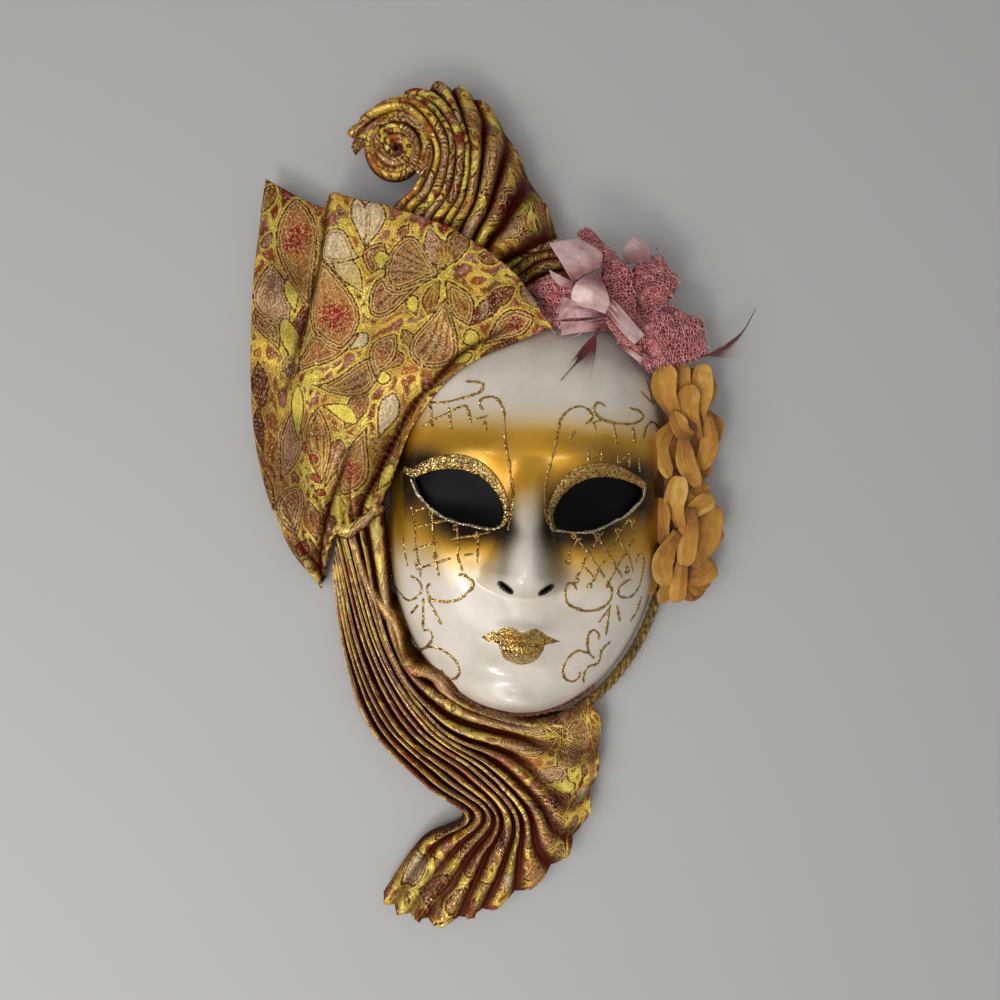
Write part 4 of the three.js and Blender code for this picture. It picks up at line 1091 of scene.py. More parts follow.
# Lines of glitter glue on the face, each a path over it: scrolls above the brows and on the cheeks.
SCROLLS = [
    [(-36.5, 72), (-31, 72), (-27, 70.5), (-28, 67), (-31.5, 65), (-39, 62.5), (-47, 60.5), (-55, 60.5),
     (-60, 59)],
    [(-26, 56.5), (-28, 59.5), (-27.5, 62.5), (-24, 64), (-20, 63.5), (-16.5, 59.5), (-15, 54),
     (-14.5, 46.5)],
    [(-14.5, 46.5), (-13.5, 39), (-11.5, 31), (-10, 22.5), (-8.5, 15), (-9, 6), (-10.5, -4.5)],
    [(-58.5, 48), (-48.5, 53), (-38.5, 58), (-35, 58.5), (-34, 55.5)], [(-55, 60.5), (-52.5, 47)],
    [(-44.5, 58), (-42, 45.5)], [(-34, 57), (-32, 49.5)], [(-30, 51.5), (-23, 54)],
    [(-25.5, 51.5), (-23.5, 46)],
    [(13.5, 49.5), (14, 53.5), (18, 59), (24, 61.5), (29, 59.5), (30.5, 55.5), (27.5, 52.5)],
    [(37.5, 62.5), (35, 64), (32.5, 63.5), (31.5, 60), (34, 56.5), (39.5, 54.5), (48, 54), (55, 55.5),
     (59.5, 59), (57.5, 62), (51, 63)],
    [(13.5, 49.5), (12, 41.5), (10.5, 33), (8.5, 24.5), (8, 16), (8.5, 6.5), (10.5, -0.5)],
    [(62.5, 81), (64.5, 75.5), (66, 68.5), (69.5, 71.5)], [(58, 73.5), (65.5, 68.5)],
    [(59.5, 47), (62, 54.5), (66, 57.5), (71, 54), (69.5, 45)], [(53, 53), (55, 44.5)],
    [(30.5, 53), (36.5, 55.5)], [(42, 54), (44.5, 42)], [(22, 48), (18.5, 43)], [(31.5, 53.5), (32.5, 49)],
    [(-61, -32.5), (-57.5, -33.5), (-55, -35.5), (-54, -38.5), (-55, -41.5), (-58.5, -45), (-62, -46.5),
     (-65, -45.5), (-68.5, -43), (-72, -40.5), (-75, -35.5), (-76, -29), (-76.5, -23), (-75, -19.5)],
    [(-34.5, -29), (-32, -28.5), (-28.5, -30.5), (-26.5, -32), (-27, -35.5), (-29, -37.5), (-33, -41.5),
     (-38.5, -43.5), (-43.5, -44), (-48.5, -43.5), (-50.5, -40), (-51, -37), (-49, -35)],
    [(-53, -43.5), (-53, -61)], [(-50.5, -43), (-42.5, -57)], [(-56, -48), (-60.5, -54)],
    [(-53, -62), (-49, -61.5), (-47.5, -65.5), (-50.5, -71), (-58, -77.5), (-59.5, -79.5)],
    [(-64, -68), (-59.5, -71.5), (-59.5, -78)],
    [(-58, -77.5), (-49.5, -71.5), (-41.5, -71.5), (-34.5, -76.5), (-32, -83), (-34.5, -88), (-39, -88.5),
     (-42.5, -84)],
    [(26.5, -33.5), (24.5, -30), (21.5, -30.5), (21, -35.5), (22.5, -40.5), (28, -43.5), (34, -44.5),
     (40.5, -43), (45, -39), (45.5, -33), (42, -29)],
    [(56.5, -27.5), (53, -29), (49.5, -32), (50, -36), (53.5, -37.5), (58, -37), (62, -32), (63.5, -24),
     (64, -18), (62.5, -14.5)],
    [(45.5, -41), (45, -58.5)], [(45.5, -42.5), (40, -51)], [(49.5, -41.5), (52.5, -51)],
    [(41, -60.5), (40.5, -57), (37.5, -55), (35, -57.5), (35, -62.5), (36.5, -68), (40, -71.5)],
    [(35.5, -68), (30, -66.5), (25, -70.5), (23, -77), (24.5, -82.5), (29, -85), (32.5, -82.5),
     (32.5, -79)],
    [(48.5, -62), (44, -66.5), (42.5, -74.5), (37, -76.5), (35, -82.5), (36, -86.5)],
    [(64.5, -37.5), (63, -45.5), (59, -52)],
]
# Thinner lines: the nets under the eyes, and the ticks across the right lid.
NETS = [
    [(23, -4), (26.5, -8), (32.5, -15), (36.5, -20.5), (41, -26.5)],
    [(34, -3.5), (37.5, -7), (42, -13.5), (46, -19.5), (51, -26.5)],
    [(45.5, -0.5), (48, -5), (50.5, -10.5), (53, -14), (55, -17.5), (57.5, -23.5)], [(54.5, 4.5), (57, -3)],
    [(28, -6.5), (25.5, -8.5), (23, -12.5), (21.5, -17)],
    [(40, -2.5), (36, -7.5), (32.5, -13.5), (30, -17.5), (28, -23.5), (25.5, -27)],
    [(55, 5), (51.5, 1), (48, -4), (46.5, -7.5), (45.5, -10.5)],
    [(57, -6), (54, -10), (51.5, -14.5), (49, -18), (47, -22), (45, -25.5), (43.5, -28.5)],
    [(40.5, -17.5), (38, -20.5), (36.5, -24.5), (35.5, -27.5), (33.5, -30)],
    [(30, -21.5), (32, -23.5), (35, -26.5)], [(58.5, -18.5), (60, -15), (62.5, -13.5)],
    [(-66, -12.5), (-65, -19), (-62.5, -27.5)],
    [(-62.5, 5), (-60.5, -2), (-59.5, -5.5), (-58, -16.5), (-56.5, -23), (-55, -27.5), (-55, -32.5)],
    [(-50.5, 0.5), (-49.5, -4.5), (-47.5, -17), (-46.5, -22.5), (-44.5, -30.5)],
    [(-37, -2.5), (-36, -7.5), (-35, -14.5), (-35, -19.5), (-33, -24.5), (-32.5, -27)],
    [(-26, -6), (-25, -11), (-25, -17), (-25, -22)], [(-60, 2.5), (-54.5, 4.5)],
    [(-58.5, -5.5), (-53.5, -4.5), (-47.5, -2.5), (-40.5, -1)], [(-60, -18.5), (-53, -15.5), (-46, -13)],
    [(-39.5, -11), (-34.5, -9.5), (-28.5, -8.5), (-19, -6)], [(-32, -18.5), (-27, -17.5)],
    [(-54.5, -27), (-48.5, -24.5), (-42.5, -22), (-38.5, -20.5)], [(28.5, 39), (29.5, 32.5)],
    [(36.5, 39.5), (36, 32.5)], [(45, 39), (45.5, 32)], [(52, 39.5), (52, 31.5)],
    [(57.5, 37), (58.5, 29.5)], [(28, 32.5), (34.5, 36.5)], [(45.5, 33), (51.5, 38)],
]
# Small loops of glue where a line starts or ends.
LOOPS = [
    (26, -28.5), (33, -31), (43, -30), (53.5, -22.5), (24, -5.5), (36.5, -5.5), (47.5, -2.5), (56, 3),
    (-56.5, -27), (-57, -25), (-51, 2), (-37.5, -4.5), (-26, -8), (-47, -20), (21.5, -18.5),
]
# Paler thread along each lower lid.
LID_THREADS = [
    [(-63.5, 19.5), (-60.5, 13.5), (-56, 8.5), (-51.5, 4.5), (-46, 1), (-40.5, -1), (-35, -2.5), (-30, -3),
     (-24.5, -4), (-19.5, -4.5), (-15.5, -3.5), (-13, -1.5)],
    [(62.5, 22), (61.5, 16), (57.5, 11), (51.5, 5.5), (44.5, 2), (38, -1.5), (31.5, -3.5), (24.5, -4),
     (17.5, -3.5), (13, -3), (11, 1), (10.5, 6), (11.5, 11)],
]
# Edges of the glitter on the lips, both from the left corner to the right one.
LIP_TOP = [
    (-21, -61), (-18, -58.5), (-12.5, -55.5), (-8, -53.5), (-3.5, -54), (-0.5, -55.5), (2.5, -54.5),
    (5.5, -53.5), (9, -54.5), (13, -57.5), (20, -61),
]
LIP_FOOT = [
    (-21, -61), (-17, -63), (-12.5, -63.2), (-11, -66), (-9, -71), (-5, -74), (-0.5, -75.5), (3, -75),
    (7, -73), (9.5, -69.5), (11.5, -65.5), (12, -63), (16, -62), (20, -61),
]


def glue_line(line, width, draw):
    """Raised line of glitter over the face: an arch across, thick and thin by chance along it and
    narrowed at its ends."""
    line = np.asarray(line, float)
    length = np.linalg.norm(np.diff(line, axis=0), axis=1).sum()
    count = max(int(length / 0.55), 7)
    s = np.linspace(0, 1, count)
    knots = max(int(length / 1.3), 3)
    swell = np.interp(s * (knots - 1), np.arange(knots), draw.uniform(0.6, 1.35, knots))
    ends = np.clip(np.minimum(s, 1 - s) * length / 0.8 + 0.35, 0, 1)
    half = (0.58 * width * swell * ends)[:, None]
    arch = np.linspace(0, np.pi, 6)[None, :]
    x, y = beside(spline(line, s), -half * np.cos(arch))
    z = face_height(x, y) - 0.12 + half * 0.95 * np.sin(arch)
    return surface(np.stack([x, y, z], -1), flip=True)


def glue_loop(x, y, draw):
    """Small ring of glitter, an ellipse drawn by chance."""
    angle = np.linspace(0, 2 * np.pi, 12) + draw.uniform(0, 6)
    across, along = draw.uniform(0.9, 1.3), draw.uniform(1.1, 1.7)
    return glue_line(np.stack([x + across * np.cos(angle), y + along * np.sin(angle)], 1), 0.95, draw)


def lips(draw, rows=150, columns=70):
    """Heavy glitter on the lips, from the lower edge to the upper one: a cushion sin^0.5 across with
    grains standing out by chance."""
    u, v = grid(rows, columns)
    points = spline(LIP_FOOT, u) * (1 - v[..., None]) + spline(LIP_TOP, u) * v[..., None]
    x, y = points[..., 0], points[..., 1]
    cushion = np.sin(np.pi * v) ** 0.5 * np.sin(np.pi * np.clip(u, 0.02, 0.98)) ** 0.3
    grains = draw.uniform(-0.22, 0.22, x.shape)
    z = face_height(x, y) - 0.1 + cushion * (0.75 + grains)
    return surface(np.stack([x, y, z], -1))


def build_glitterwork():
    """Scrolls, nets, lid threads and lips of glitter glue."""
    draw = np.random.default_rng(21)
    lines = [glue_line(line, 1.35, draw) for line in SCROLLS]
    lines += [glue_line(line, 1.1, draw) for line in NETS]
    lines += [glue_loop(x, y, draw) for x, y in LOOPS]
    threads = [glue_line(line, 1.4, draw) for line in LID_THREADS]
    for name, shape, material in (
            ("glitter_scrolls", joined(lines), glitter("dark gold glitter", GRAINS["gold"], 0.5)),
            ("glitter_lid_threads", joined(threads), glitter("pale gold glitter", GRAINS["pale"], 0.5)),
            ("glitter_lips", lips(draw), glitter("lip glitter", GRAINS["lips"], 0.75))):
        add_piece(name, shape, [material])


# Petals of the two yellow flowers, the back ones last, from root to tip: three points of the middle
# line, the width, where along it the petal is widest, its roll in degrees and how pale it is, lower for
# the back petals as painted shade under the front ones.
YELLOW_UPPER = [
    ((92, 49.5, 20), (85.5, 64, 26), (85.5, 79.5, 26), 13, 0.55, -6, 1.0),
    ((82, 72, 20), (80.5, 80.5, 23), (80, 90.5, 22), 12, 0.62, 0, 0.9),
    ((79.5, 59.5, 22), (72.5, 74, 27), (70.5, 89.5, 26), 13, 0.66, 10, 0.95),
    ((93.5, 58.5, 18), (92.5, 73.5, 22), (93.5, 91.5, 20), 11.5, 0.6, -14, 0.95),
    ((88.5, 51, 25), (81.5, 55, 28), (77.5, 63.5, 28), 10, 0.5, 0, 1.05),
    ((79, 59.5, 24), (71, 44.5, 28), (77, 27.5, 24), 10, 0.5, 14, 1.1),
    ((83, 52, 25), (85.5, 38, 26), (93.5, 24, 22), 10, 0.5, 0, 1.0),
    ((95.5, 65.5, 18), (97, 50, 20), (94, 33, 18), 13, 0.42, -10, 0.9),
    ((95, 66, 14), (102, 58.5, 15), (101.5, 46, 13), 8.5, 0.5, -12, 0.8),
    ((90, 62, 13), (96, 76, 15), (97, 87.5, 12), 10.5, 0.5, -8, 0.7),
    ((89.5, 55.5, 12), (95, 38, 13), (98, 29, 10), 12, 0.6, 0, 0.62),
    ((85, 54.5, 20), (79.5, 40, 21), (79.5, 32.5, 18), 12, 0.6, 0, 0.5),
    ((89.5, 55.5, 13), (87.5, 76.5, 15), (88.5, 90, 13), 20, 0.6, 0, 0.5),
]
YELLOW_LOWER = [
    ((91.5, 27.5, 15), (94, 21, 17), (99, 13.5, 15), 13.5, 0.5, 0, 0.85),
    ((93.5, -20.5, 15), (99, -4.5, 17), (104.5, 14.5, 14), 17, 0.58, -8, 0.95),
    ((89.5, -27, 13), (98.5, -24, 15), (106.5, -17.5, 12), 16, 0.6, -8, 0.85),
    ((84.5, 1, 25), (80.5, 15, 28), (82.5, 29, 26), 11, 0.6, 6, 1.05),
    ((79, -13, 21), (73.5, 2, 25), (73.5, 16.5, 23), 11, 0.6, 12, 0.9),
    ((84, 6, 24), (93.5, 12, 25), (103, 18.5, 20), 10, 0.6, -8, 1.1),
    ((89, 12, 25), (89, -3.5, 28), (88, -20, 22), 11, 0.5, -8, 1.05),
    ((83.5, -2, 26), (75.5, -17, 29), (78.5, -31.5, 24), 11.5, 0.5, 12, 1.15),
    ((87, -15, 21), (86.5, -28, 21), (85.5, -41.5, 15), 9.5, 0.6, 0, 1.0),
    ((82, -25, 19), (79.5, -34.5, 18), (77.5, -42.5, 14), 8.5, 0.5, 8, 0.9),
    ((75, -15.5, 19), (71.5, -27, 18), (71, -38.5, 13), 8, 0.5, 14, 0.75),
    ((90.5, -17.5, 11), (98, -29, 12), (102.5, -34, 9), 13, 0.6, 0, 0.62),
    ((92, -6, 11), (102.5, -2, 13), (109, 2.5, 10), 14, 0.6, 0, 0.7),
    ((88, 8, 12), (84, 22, 13), (83, 33, 11), 13, 0.6, 0, 0.45),
    ((88, 10, 12), (93, 24, 13), (94, 34, 11), 12, 0.6, 0, 0.5),
    ((93, -9, 11), (95, -28.5, 12), (96.5, -40.5, 9), 14.5, 0.6, 0, 0.5),
    ((87.5, -6, 20), (84.5, 13, 20), (82, 21.5, 18), 16.5, 0.6, 0, 0.5),
]
# Hearts of the two flowers, dark as painted shade under the petals: centre, breadth across and along, and
# height.
UPPER_HEART = ((86, 56, 14), 13, 26, 9)
LOWER_HEART = ((87, -6, 11), 14, 27, 9)
# Cloth panels of the gauze flower and of the satin bow on it, each by its two long sides from the
# gather to the free end, and how far it puffs up between them.
GAUZE = {
    "long_lobe": (
        [(50, 109.5, 34), (39, 119.5, 36), (34, 129, 35), (32, 141, 33), (25.5, 151, 28), (19.5, 160.5, 20)],
        [(57, 107, 32), (51, 121, 36), (49, 136, 35), (42, 144.5, 31), (34, 153.5, 26), (27, 163.5, 20)], 3),
    "round_lobe": (
        [(52, 123, 28), (49, 131, 30), (51, 140.5, 28), (61.5, 149, 20)],
        [(66.5, 119.5, 26), (73, 126.5, 27), (75.5, 137.5, 22), (69, 148, 18)], 5),
    "side_lobe": (
        [(57, 107, 28), (62, 118, 29), (76, 118, 24), (92.5, 116, 16)],
        [(64.5, 90, 28), (70, 88, 28), (82, 91, 22), (96, 98, 15)], 5),
    "fringe": (
        [(33, 111, 38), (40, 102.5, 37), (48.5, 94.5, 34), (62.5, 84, 28)],
        [(36.5, 113, 39), (48.5, 102.5, 37), (57, 95, 34), (66.5, 89, 28)], 2),
    "dark_leaf": (
        [(24, 116, 36), (11, 117.5, 30), (-4, 125, 22)],
        [(20.5, 131, 34), (8, 133, 29), (-4, 129.5, 22)], 3),
    "under_lobe": (
        [(48, 126, 25), (61, 125.5, 26), (74, 122, 22), (85.5, 118.5, 16)],
        [(50.5, 112, 26), (62, 113.5, 26), (74.5, 113.5, 22), (85.5, 111, 16)], 2),
    "inner_lobe": (
        [(49, 109, 31), (53.5, 99, 31), (57, 88.5, 27)],
        [(61, 113, 29), (65, 102, 29), (69, 91, 26)], 1),
    "bow_lining": (
        [(24, 118, 34), (12, 119, 28), (-2, 122.5, 21)],
        [(24, 104, 34), (14, 105, 29), (5, 108, 24)], 1),
}
SATIN = {
    "bow_upper": (
        [(17, 127.5, 41), (11, 138, 38), (4, 149.5, 34)],
        [(32, 136.5, 42), (31.5, 144.5, 40), (19.5, 153, 34)], 3),
    "bow_lower": (
        [(30.5, 133.5, 43), (19.5, 127, 46), (16.5, 119, 44), (20.5, 115, 42)],
        [(32, 129.5, 43), (35, 122.5, 47), (37, 116, 46), (35.5, 111.5, 42)], 5),
    "leaf_upper": (
        [(35.5, 111.5, 41), (22, 117.5, 40), (12.5, 121, 36)],
        [(36, 110.5, 40), (22.5, 109.5, 38), (10.5, 109, 34)], 2),
    "leaf_lower": (
        [(36, 111, 39), (25.5, 108.5, 37), (13, 108.5, 32)],
        [(38, 103.5, 37), (25, 102.5, 35), (13, 101, 30)], 1.5),
    "ribbon": (
        [(37.5, 120, 44), (45.5, 112.5, 43), (57, 102, 39)],
        [(36, 111, 45), (43.5, 103, 44), (51.5, 96.5, 40)], 1),
    "back_leaf": (
        [(46.5, 142, 28), (45, 151, 24), (51.5, 160, 20)],
        [(61, 144.5, 26), (60, 153.5, 22), (55, 159, 20)], 2),
    "strip": (
        [(47, 97, 36), (52.5, 93.5, 35), (57.5, 91, 33)],
        [(46, 94, 36), (51.5, 91, 35), (56.5, 88, 33)], 0.5),
    "tuck": (
        [(17.5, 128, 38), (11, 132.5, 34), (5, 136.5, 30)],
        [(17.5, 124.5, 37), (10, 128, 33), (6, 133.5, 30)], 1),
}


def petal(root, middle, tip, width, widest, roll, pale, draw, rows=32, columns=17):
    """Petal about a curved middle line: it widens as 3t^2 - 2t^3 and rounds off as sqrt(1 - t^k),
    with its two sides flat and folded along a line, and a rim that ruffles a little."""
    u, v = grid(rows, columns, -1)
    middle = (middle[0], middle[1], (root[2] + 2 * middle[2] + tip[2]) / 4)
    line = spline([root, middle, tip], u[:, 0])
    line[:, 2] = 20 + 0.75 * (line[:, 2] - 20)
    _, side, up = frame_along(line)
    turn = math.radians(roll + draw.normal(0, 11))
    pale = pale * draw.uniform(0.82, 1.12)
    side, up = side * math.cos(turn) + up * math.sin(turn), up * math.cos(turn) - side * math.sin(turn)
    phase, waves = draw.uniform(0, 2 * np.pi, 5), draw.uniform(1.5, 3.5, 3)
    beyond = np.clip(u - widest, 0, 1) / (1.01 - widest)
    half = 1.06 * width / 2 * (0.55 + 0.45 * smoothstep(u, 0, widest))
    half = half * np.sqrt(np.clip(1 - beyond ** draw.uniform(1.9, 4.2), 0, 1))
    half = half * (1 + 0.09 * np.sin(8 * u + phase[4] + 2 * np.sign(v)))
    rim = np.abs(v) ** 3 * smoothstep(u, 0.15, 0.8)
    ruffle = sum(np.sin(2 * np.pi * n * u + p + 1.6 * np.sign(v)) for n, p in zip(waves, phase)) / 3
    line_at = 0.45 * np.sin(phase[3])
    slope = (-0.07 if draw.random() < 0.5 else 0.09) * width
    rise = slope * (np.hypot(v - line_at, 0.08) - 0.4) * smoothstep(u, 0.0, 0.4)
    rise = rise + 0.035 * width * ruffle * rim - 0.5 * smoothstep(u, 0.85, 1.0)
    points = line[:, None] + side[:, None] * (half * v)[..., None] + up[:, None] * rise[..., None]
    # Painted light and shade: one side of the fold is lighter than the other. The tint is also darker towards
    # the root, paler at the rim, and scaled by how pale the petal is.
    tint = pale * (0.34 + 0.38 * smoothstep(u, 0.0, 0.65) + 0.1 * np.where(v > line_at, 1, -1)) + 0.12 * rim
    length = np.linalg.norm(np.subtract(tip, root))
    uv = np.stack(np.broadcast_arrays(half * v, u * length), -1)
    return surface(points, uv=uv, tint=tint, flip=True)


def petal_cloth():
    """Dyed cotton petals: ochre yellow, with painted shade deep brown in the folds, and faint lengthwise
    creases.
    """
    material, shader, add = new_material("dyed cotton petals")
    uv = add("UVMap", {}, uv_map="UVMap")
    mm = in_millimetres(add)
    tint = add("Attribute", {}, attribute_name="tint").outputs["Fac"]
    cloud = add("TexNoise", {"Vector": mm, "Scale": 1 / 5, "Detail": 4.0})
    drift = add("MapRange", {
        "Value": cloud, "From Min": 0.3, "From Max": 0.7, "To Min": -0.1, "To Max": 0.1})
    stretched = add("Mapping", {"Vector": uv, "Scale": (0.42, 0.13, 1)})
    crease = add("TexNoise", {
        "Vector": stretched, "Scale": 1.0, "Detail": 5.0, "Distortion": 0.8}, noise_dimensions="2D")
    streak = add("MapRange", {
        "Value": crease, "From Min": 0.3, "From Max": 0.7, "To Min": -0.08, "To Max": 0.08})
    fade = add("Math", {0: tint, 1: drift}, operation="ADD")
    streaked = add("Math", {0: fade, 1: streak}, operation="ADD")
    tone = add("ValToRGB", {"Fac": streaked}, stops=[
        (0.15, "#623004"), (0.35, "#8a560a"), (0.56, "#a46e18"), (0.78, "#b4802a"), (1.0, "#caa054")])
    weave = add("TexNoise", {"Vector": mm, "Scale": 1 / 0.5, "Detail": 1.0})
    relief = add("Math", {0: weave, 1: 0.25, 2: crease}, operation="MULTIPLY_ADD")
    bump = add("Bump", {"Height": relief, "Strength": 0.5, "Distance": 0.0012})
    put(shader, {
        "Base Color": tone, "Roughness": 0.72, "Normal": bump, "Sheen Weight": 0.12, "Sheen Roughness": 0.5,
        "Subsurface Weight": 0.12, "Subsurface Radius": (0.002, 0.0012, 0.0006),
    })
    return material


def panel(left, right, puff, rows, columns, crumple, draw, sharpness=2.5):
    """Cloth between two long sides, puffed up between them as 1 - |t|^sharpness, crumpled by chance
    and gathered at its start."""
    u, v = grid(rows, columns)
    a, b = spline(left, u), spline(right, u)
    points = a + (b - a) * v[..., None]
    swell = puff * (1 - np.abs(2 * v - 1) ** sharpness) * (0.25 + 0.75 * np.sin(np.pi * u) ** 0.7)
    uneven = wrinkles(points[..., 0], points[..., 1], 9, int(draw.integers(1000)))
    uneven = uneven + 0.5 * wrinkles(points[..., 0], points[..., 1], 4, int(draw.integers(1000)))
    gathers = np.sin(v * 19 + 2) * smoothstep(u, 0.55, 0.0)
    points[..., 2] += swell + crumple * uneven + 0.35 * gathers
    return points


def gauze_net(left, right, puff, draw, cell=2.0):
    """Open net over a panel: rows of points half a cell apart in turn, moved by chance."""
    long_way = lengths(spline(left, np.linspace(0, 1, 30)))[-1]
    s = np.linspace(0, 1, 9)
    wide_way = np.linalg.norm(spline(left, s) - spline(right, s), axis=1).mean()
    rows, columns = int(long_way / cell * 1.15) + 3, int(wide_way / cell * 1.15) + 3
    points = panel(left, right, puff, rows, columns, 1.5, draw)
    across = np.gradient(points, axis=1)
    along = np.gradient(points, axis=0)
    stagger = (np.arange(rows) % 2 - 0.5)[:, None, None] * 0.5
    jitter = draw.uniform(-0.45, 0.45, points.shape[:2] + (2,))
    jitter[:, [0, -1]] *= 3.5
    jitter[[0, -1]] *= 3.5
    points = points + across * (stagger + jitter[..., :1]) + along * jitter[..., 1:]
    points[..., 2] += draw.uniform(-0.55, 0.55, points.shape[:2])
    return surface(points)


def gauze():
    """Dyed cotton gauze, coarse matt thread."""
    material, shader, add = new_material("pink gauze thread")
    mm = in_millimetres(add)
    cloud = add("TexNoise", {"Vector": mm, "Scale": 1 / 3, "Detail": 4.0})
    tone = add("ValToRGB", {"Fac": cloud}, stops=[(0.3, "#b04a50"), (0.5, "#dc8582"), (0.7, "#fac0ba")])
    fuzz = add("TexNoise", {"Vector": mm, "Scale": 1 / 0.3, "Detail": 2.0})
    bump = add("Bump", {"Height": fuzz, "Strength": 0.7, "Distance": 0.0003})
    put(shader, {"Base Color": tone, "Roughness": 0.8, "Normal": bump, "Sheen Weight": 0.4})
    return material


def gauze_lining():
    """Folded layers of the same gauze seen through the net: deeper pink, with painted shade in dark spots for
    the gathers.
    """
    material, shader, add = new_material("pink gauze layers")
    mm = in_millimetres(add)
    # The dark centres of the cells are painted shade.
    holes = add("TexVoronoi", {"Vector": mm, "Scale": 1 / 1.5})
    tone = add("ValToRGB", {"Fac": holes}, stops=[(0.15, "#300408"), (0.45, "#701c26"), (0.7, "#a4404a")])
    bump = add("Bump", {"Height": holes, "Strength": 0.8, "Distance": 0.0006})
    put(shader, {"Base Color": tone, "Roughness": 0.85, "Normal": bump, "Sheen Weight": 0.3})
    return material


def satin_ribbon():
    """Satin ribbon: smooth, greyed mauve, with faint lengthwise streaks and a soft gloss."""
    material, shader, add = new_material("mauve satin ribbon")
    uv = add("UVMap", {}, uv_map="UVMap")
    stretched = add("Mapping", {"Vector": uv, "Scale": (1.1, 0.05, 1)})
    streak = add("TexNoise", {"Vector": stretched, "Scale": 1.0, "Detail": 4.0}, noise_dimensions="2D")
    cloud = add("TexNoise", {"Vector": in_millimetres(add), "Scale": 1 / 8, "Detail": 2.0})
    # The tint attribute carries painted shade: darker at the gathered start and on the leaves under the bow.
    shade = add("Attribute", {}, attribute_name="tint").outputs["Fac"]
    mixed = add("Math", {0: cloud, 1: 0.4, 2: shade}, operation="MULTIPLY_ADD")
    tone = add("ValToRGB", {"Fac": mixed}, stops=[
        (0.2, "#6a3236"), (0.5, "#966462"), (0.8, "#b48f8b"), (1.0, "#ceb2ac")])
    bump = add("Bump", {"Height": streak, "Strength": 0.12, "Distance": 0.0006})
    put(shader, {
        "Base Color": tone, "Roughness": 0.44, "Normal": bump, "Sheen Weight": 0.1, "Sheen Roughness": 0.3,
        "Metallic": 0.12, "Coat Weight": 0.06, "Coat Roughness": 0.3,
    })
    return material


def backing(centre, across, along, height):
    """Heart of a flower under its petals, tinted dark as painted shade: a low dome 1 - r^2 with five soft
    lobes.
    """
    r = np.linspace(0.02, 1, 12)[:, None]
    angle = np.linspace(0, 2 * np.pi, 40, endpoint=False)[None, :]
    lobes = r * (1 + 0.08 * np.sin(5 * angle))
    x = centre[0] + across * lobes * np.cos(angle)
    y = centre[1] + along * lobes * np.sin(angle)
    z = centre[2] + height * (1 - r ** 2) + 0 * angle
    return surface(np.stack([x, y, z], -1), closed=True, uv=np.stack([x, y], -1), tint=0.12)


def build_flowers():
    """Two yellow flowers, the gauze flower and the satin bow on it."""
    draw = np.random.default_rng(33)
    cloth = petal_cloth()
    for name, petals, heart in (("upper", YELLOW_UPPER, UPPER_HEART), ("lower", YELLOW_LOWER, LOWER_HEART)):
        whole = joined([petal(*shape, draw) for shape in petals] + [backing(*heart)])
        add_piece("yellow_petals_" + name, whole, [cloth], ["yellow_flower_" + name], 0.4)
    nets, layers = [], []
    for left, right, puff in GAUZE.values():
        nets.append(gauze_net(left, right, 0.4 * puff, draw))
        under = panel(left, right, 0.4 * puff, 40, 24, 1.2, draw)
        under[..., 2] -= 2.0
        layers.append(surface(under))
    net_piece = add_piece("gauze_net", joined(nets), [gauze()])
    wires = net_piece.modifiers.new("threads", "WIREFRAME")
    wires.thickness = 0.65 * MM
    wires.use_even_offset = False
    add_piece("gauze_layers", joined(layers), [gauze_lining()], ["pink_gauze_flower"], 0.6)
    bow = []
    rows, columns = 40, 26
    u, v = grid(rows, columns)
    for name, (left, right, puff) in SATIN.items():
        points = panel(left, right, 0.45 * puff, rows, columns, 0.5, draw, sharpness=1.1)
        length, width = (np.ptp(side, axis=0).max() for side in (points[:, 0], points[rows // 2]))
        # Painted shade: darker at the gathered start of each panel, and darker still on the two leaves under
        # the bow.
        shade = 0.25 + 0.45 * smoothstep(u, 0, 0.6) - (0.3 if name.startswith("leaf") else 0)
        uv = np.stack(np.broadcast_arrays(v * width, u * length), -1)
        bow.append(surface(points, uv=uv, tint=shade))
    add_piece("satin_bow", joined(bow), [satin_ribbon()], ["pink_satin_petals"], 0.35)


# Twisted cords on the rim, from one angle round it to another in degrees, with their height over it
# and how far out from it they are.
CORD = {
    "from": -63, "to": -8, "height": 6, "out": 0.5, "radius": 2.9, "lay": 17,
    "strands": 3, "fatness": 1.6, "steps": 420, "sides": 10,
}
PIPING = {
    "from": -56, "to": -118, "height": 17, "out": -3.6, "radius": 1.25, "lay": 9,
    "strands": 2, "fatness": 0.72, "steps": 220, "sides": 8,
}
# Feathers: the quill's line, the barbs' length and number, and which side each next barb is on.
FEATHERS = {
    "feather_front": ([(32.5, 104, 40), (28.5, 95, 43), (23, 87, 44), (13.5, 75, 44)], 17, 300, (1, -1)),
    "feather_side": (
        [(92, 96, 16), (102.5, 99.5, 18), (112.5, 108.5, 21), (120, 123, 22)], 13, 200, (-1, -1, 1)),
}


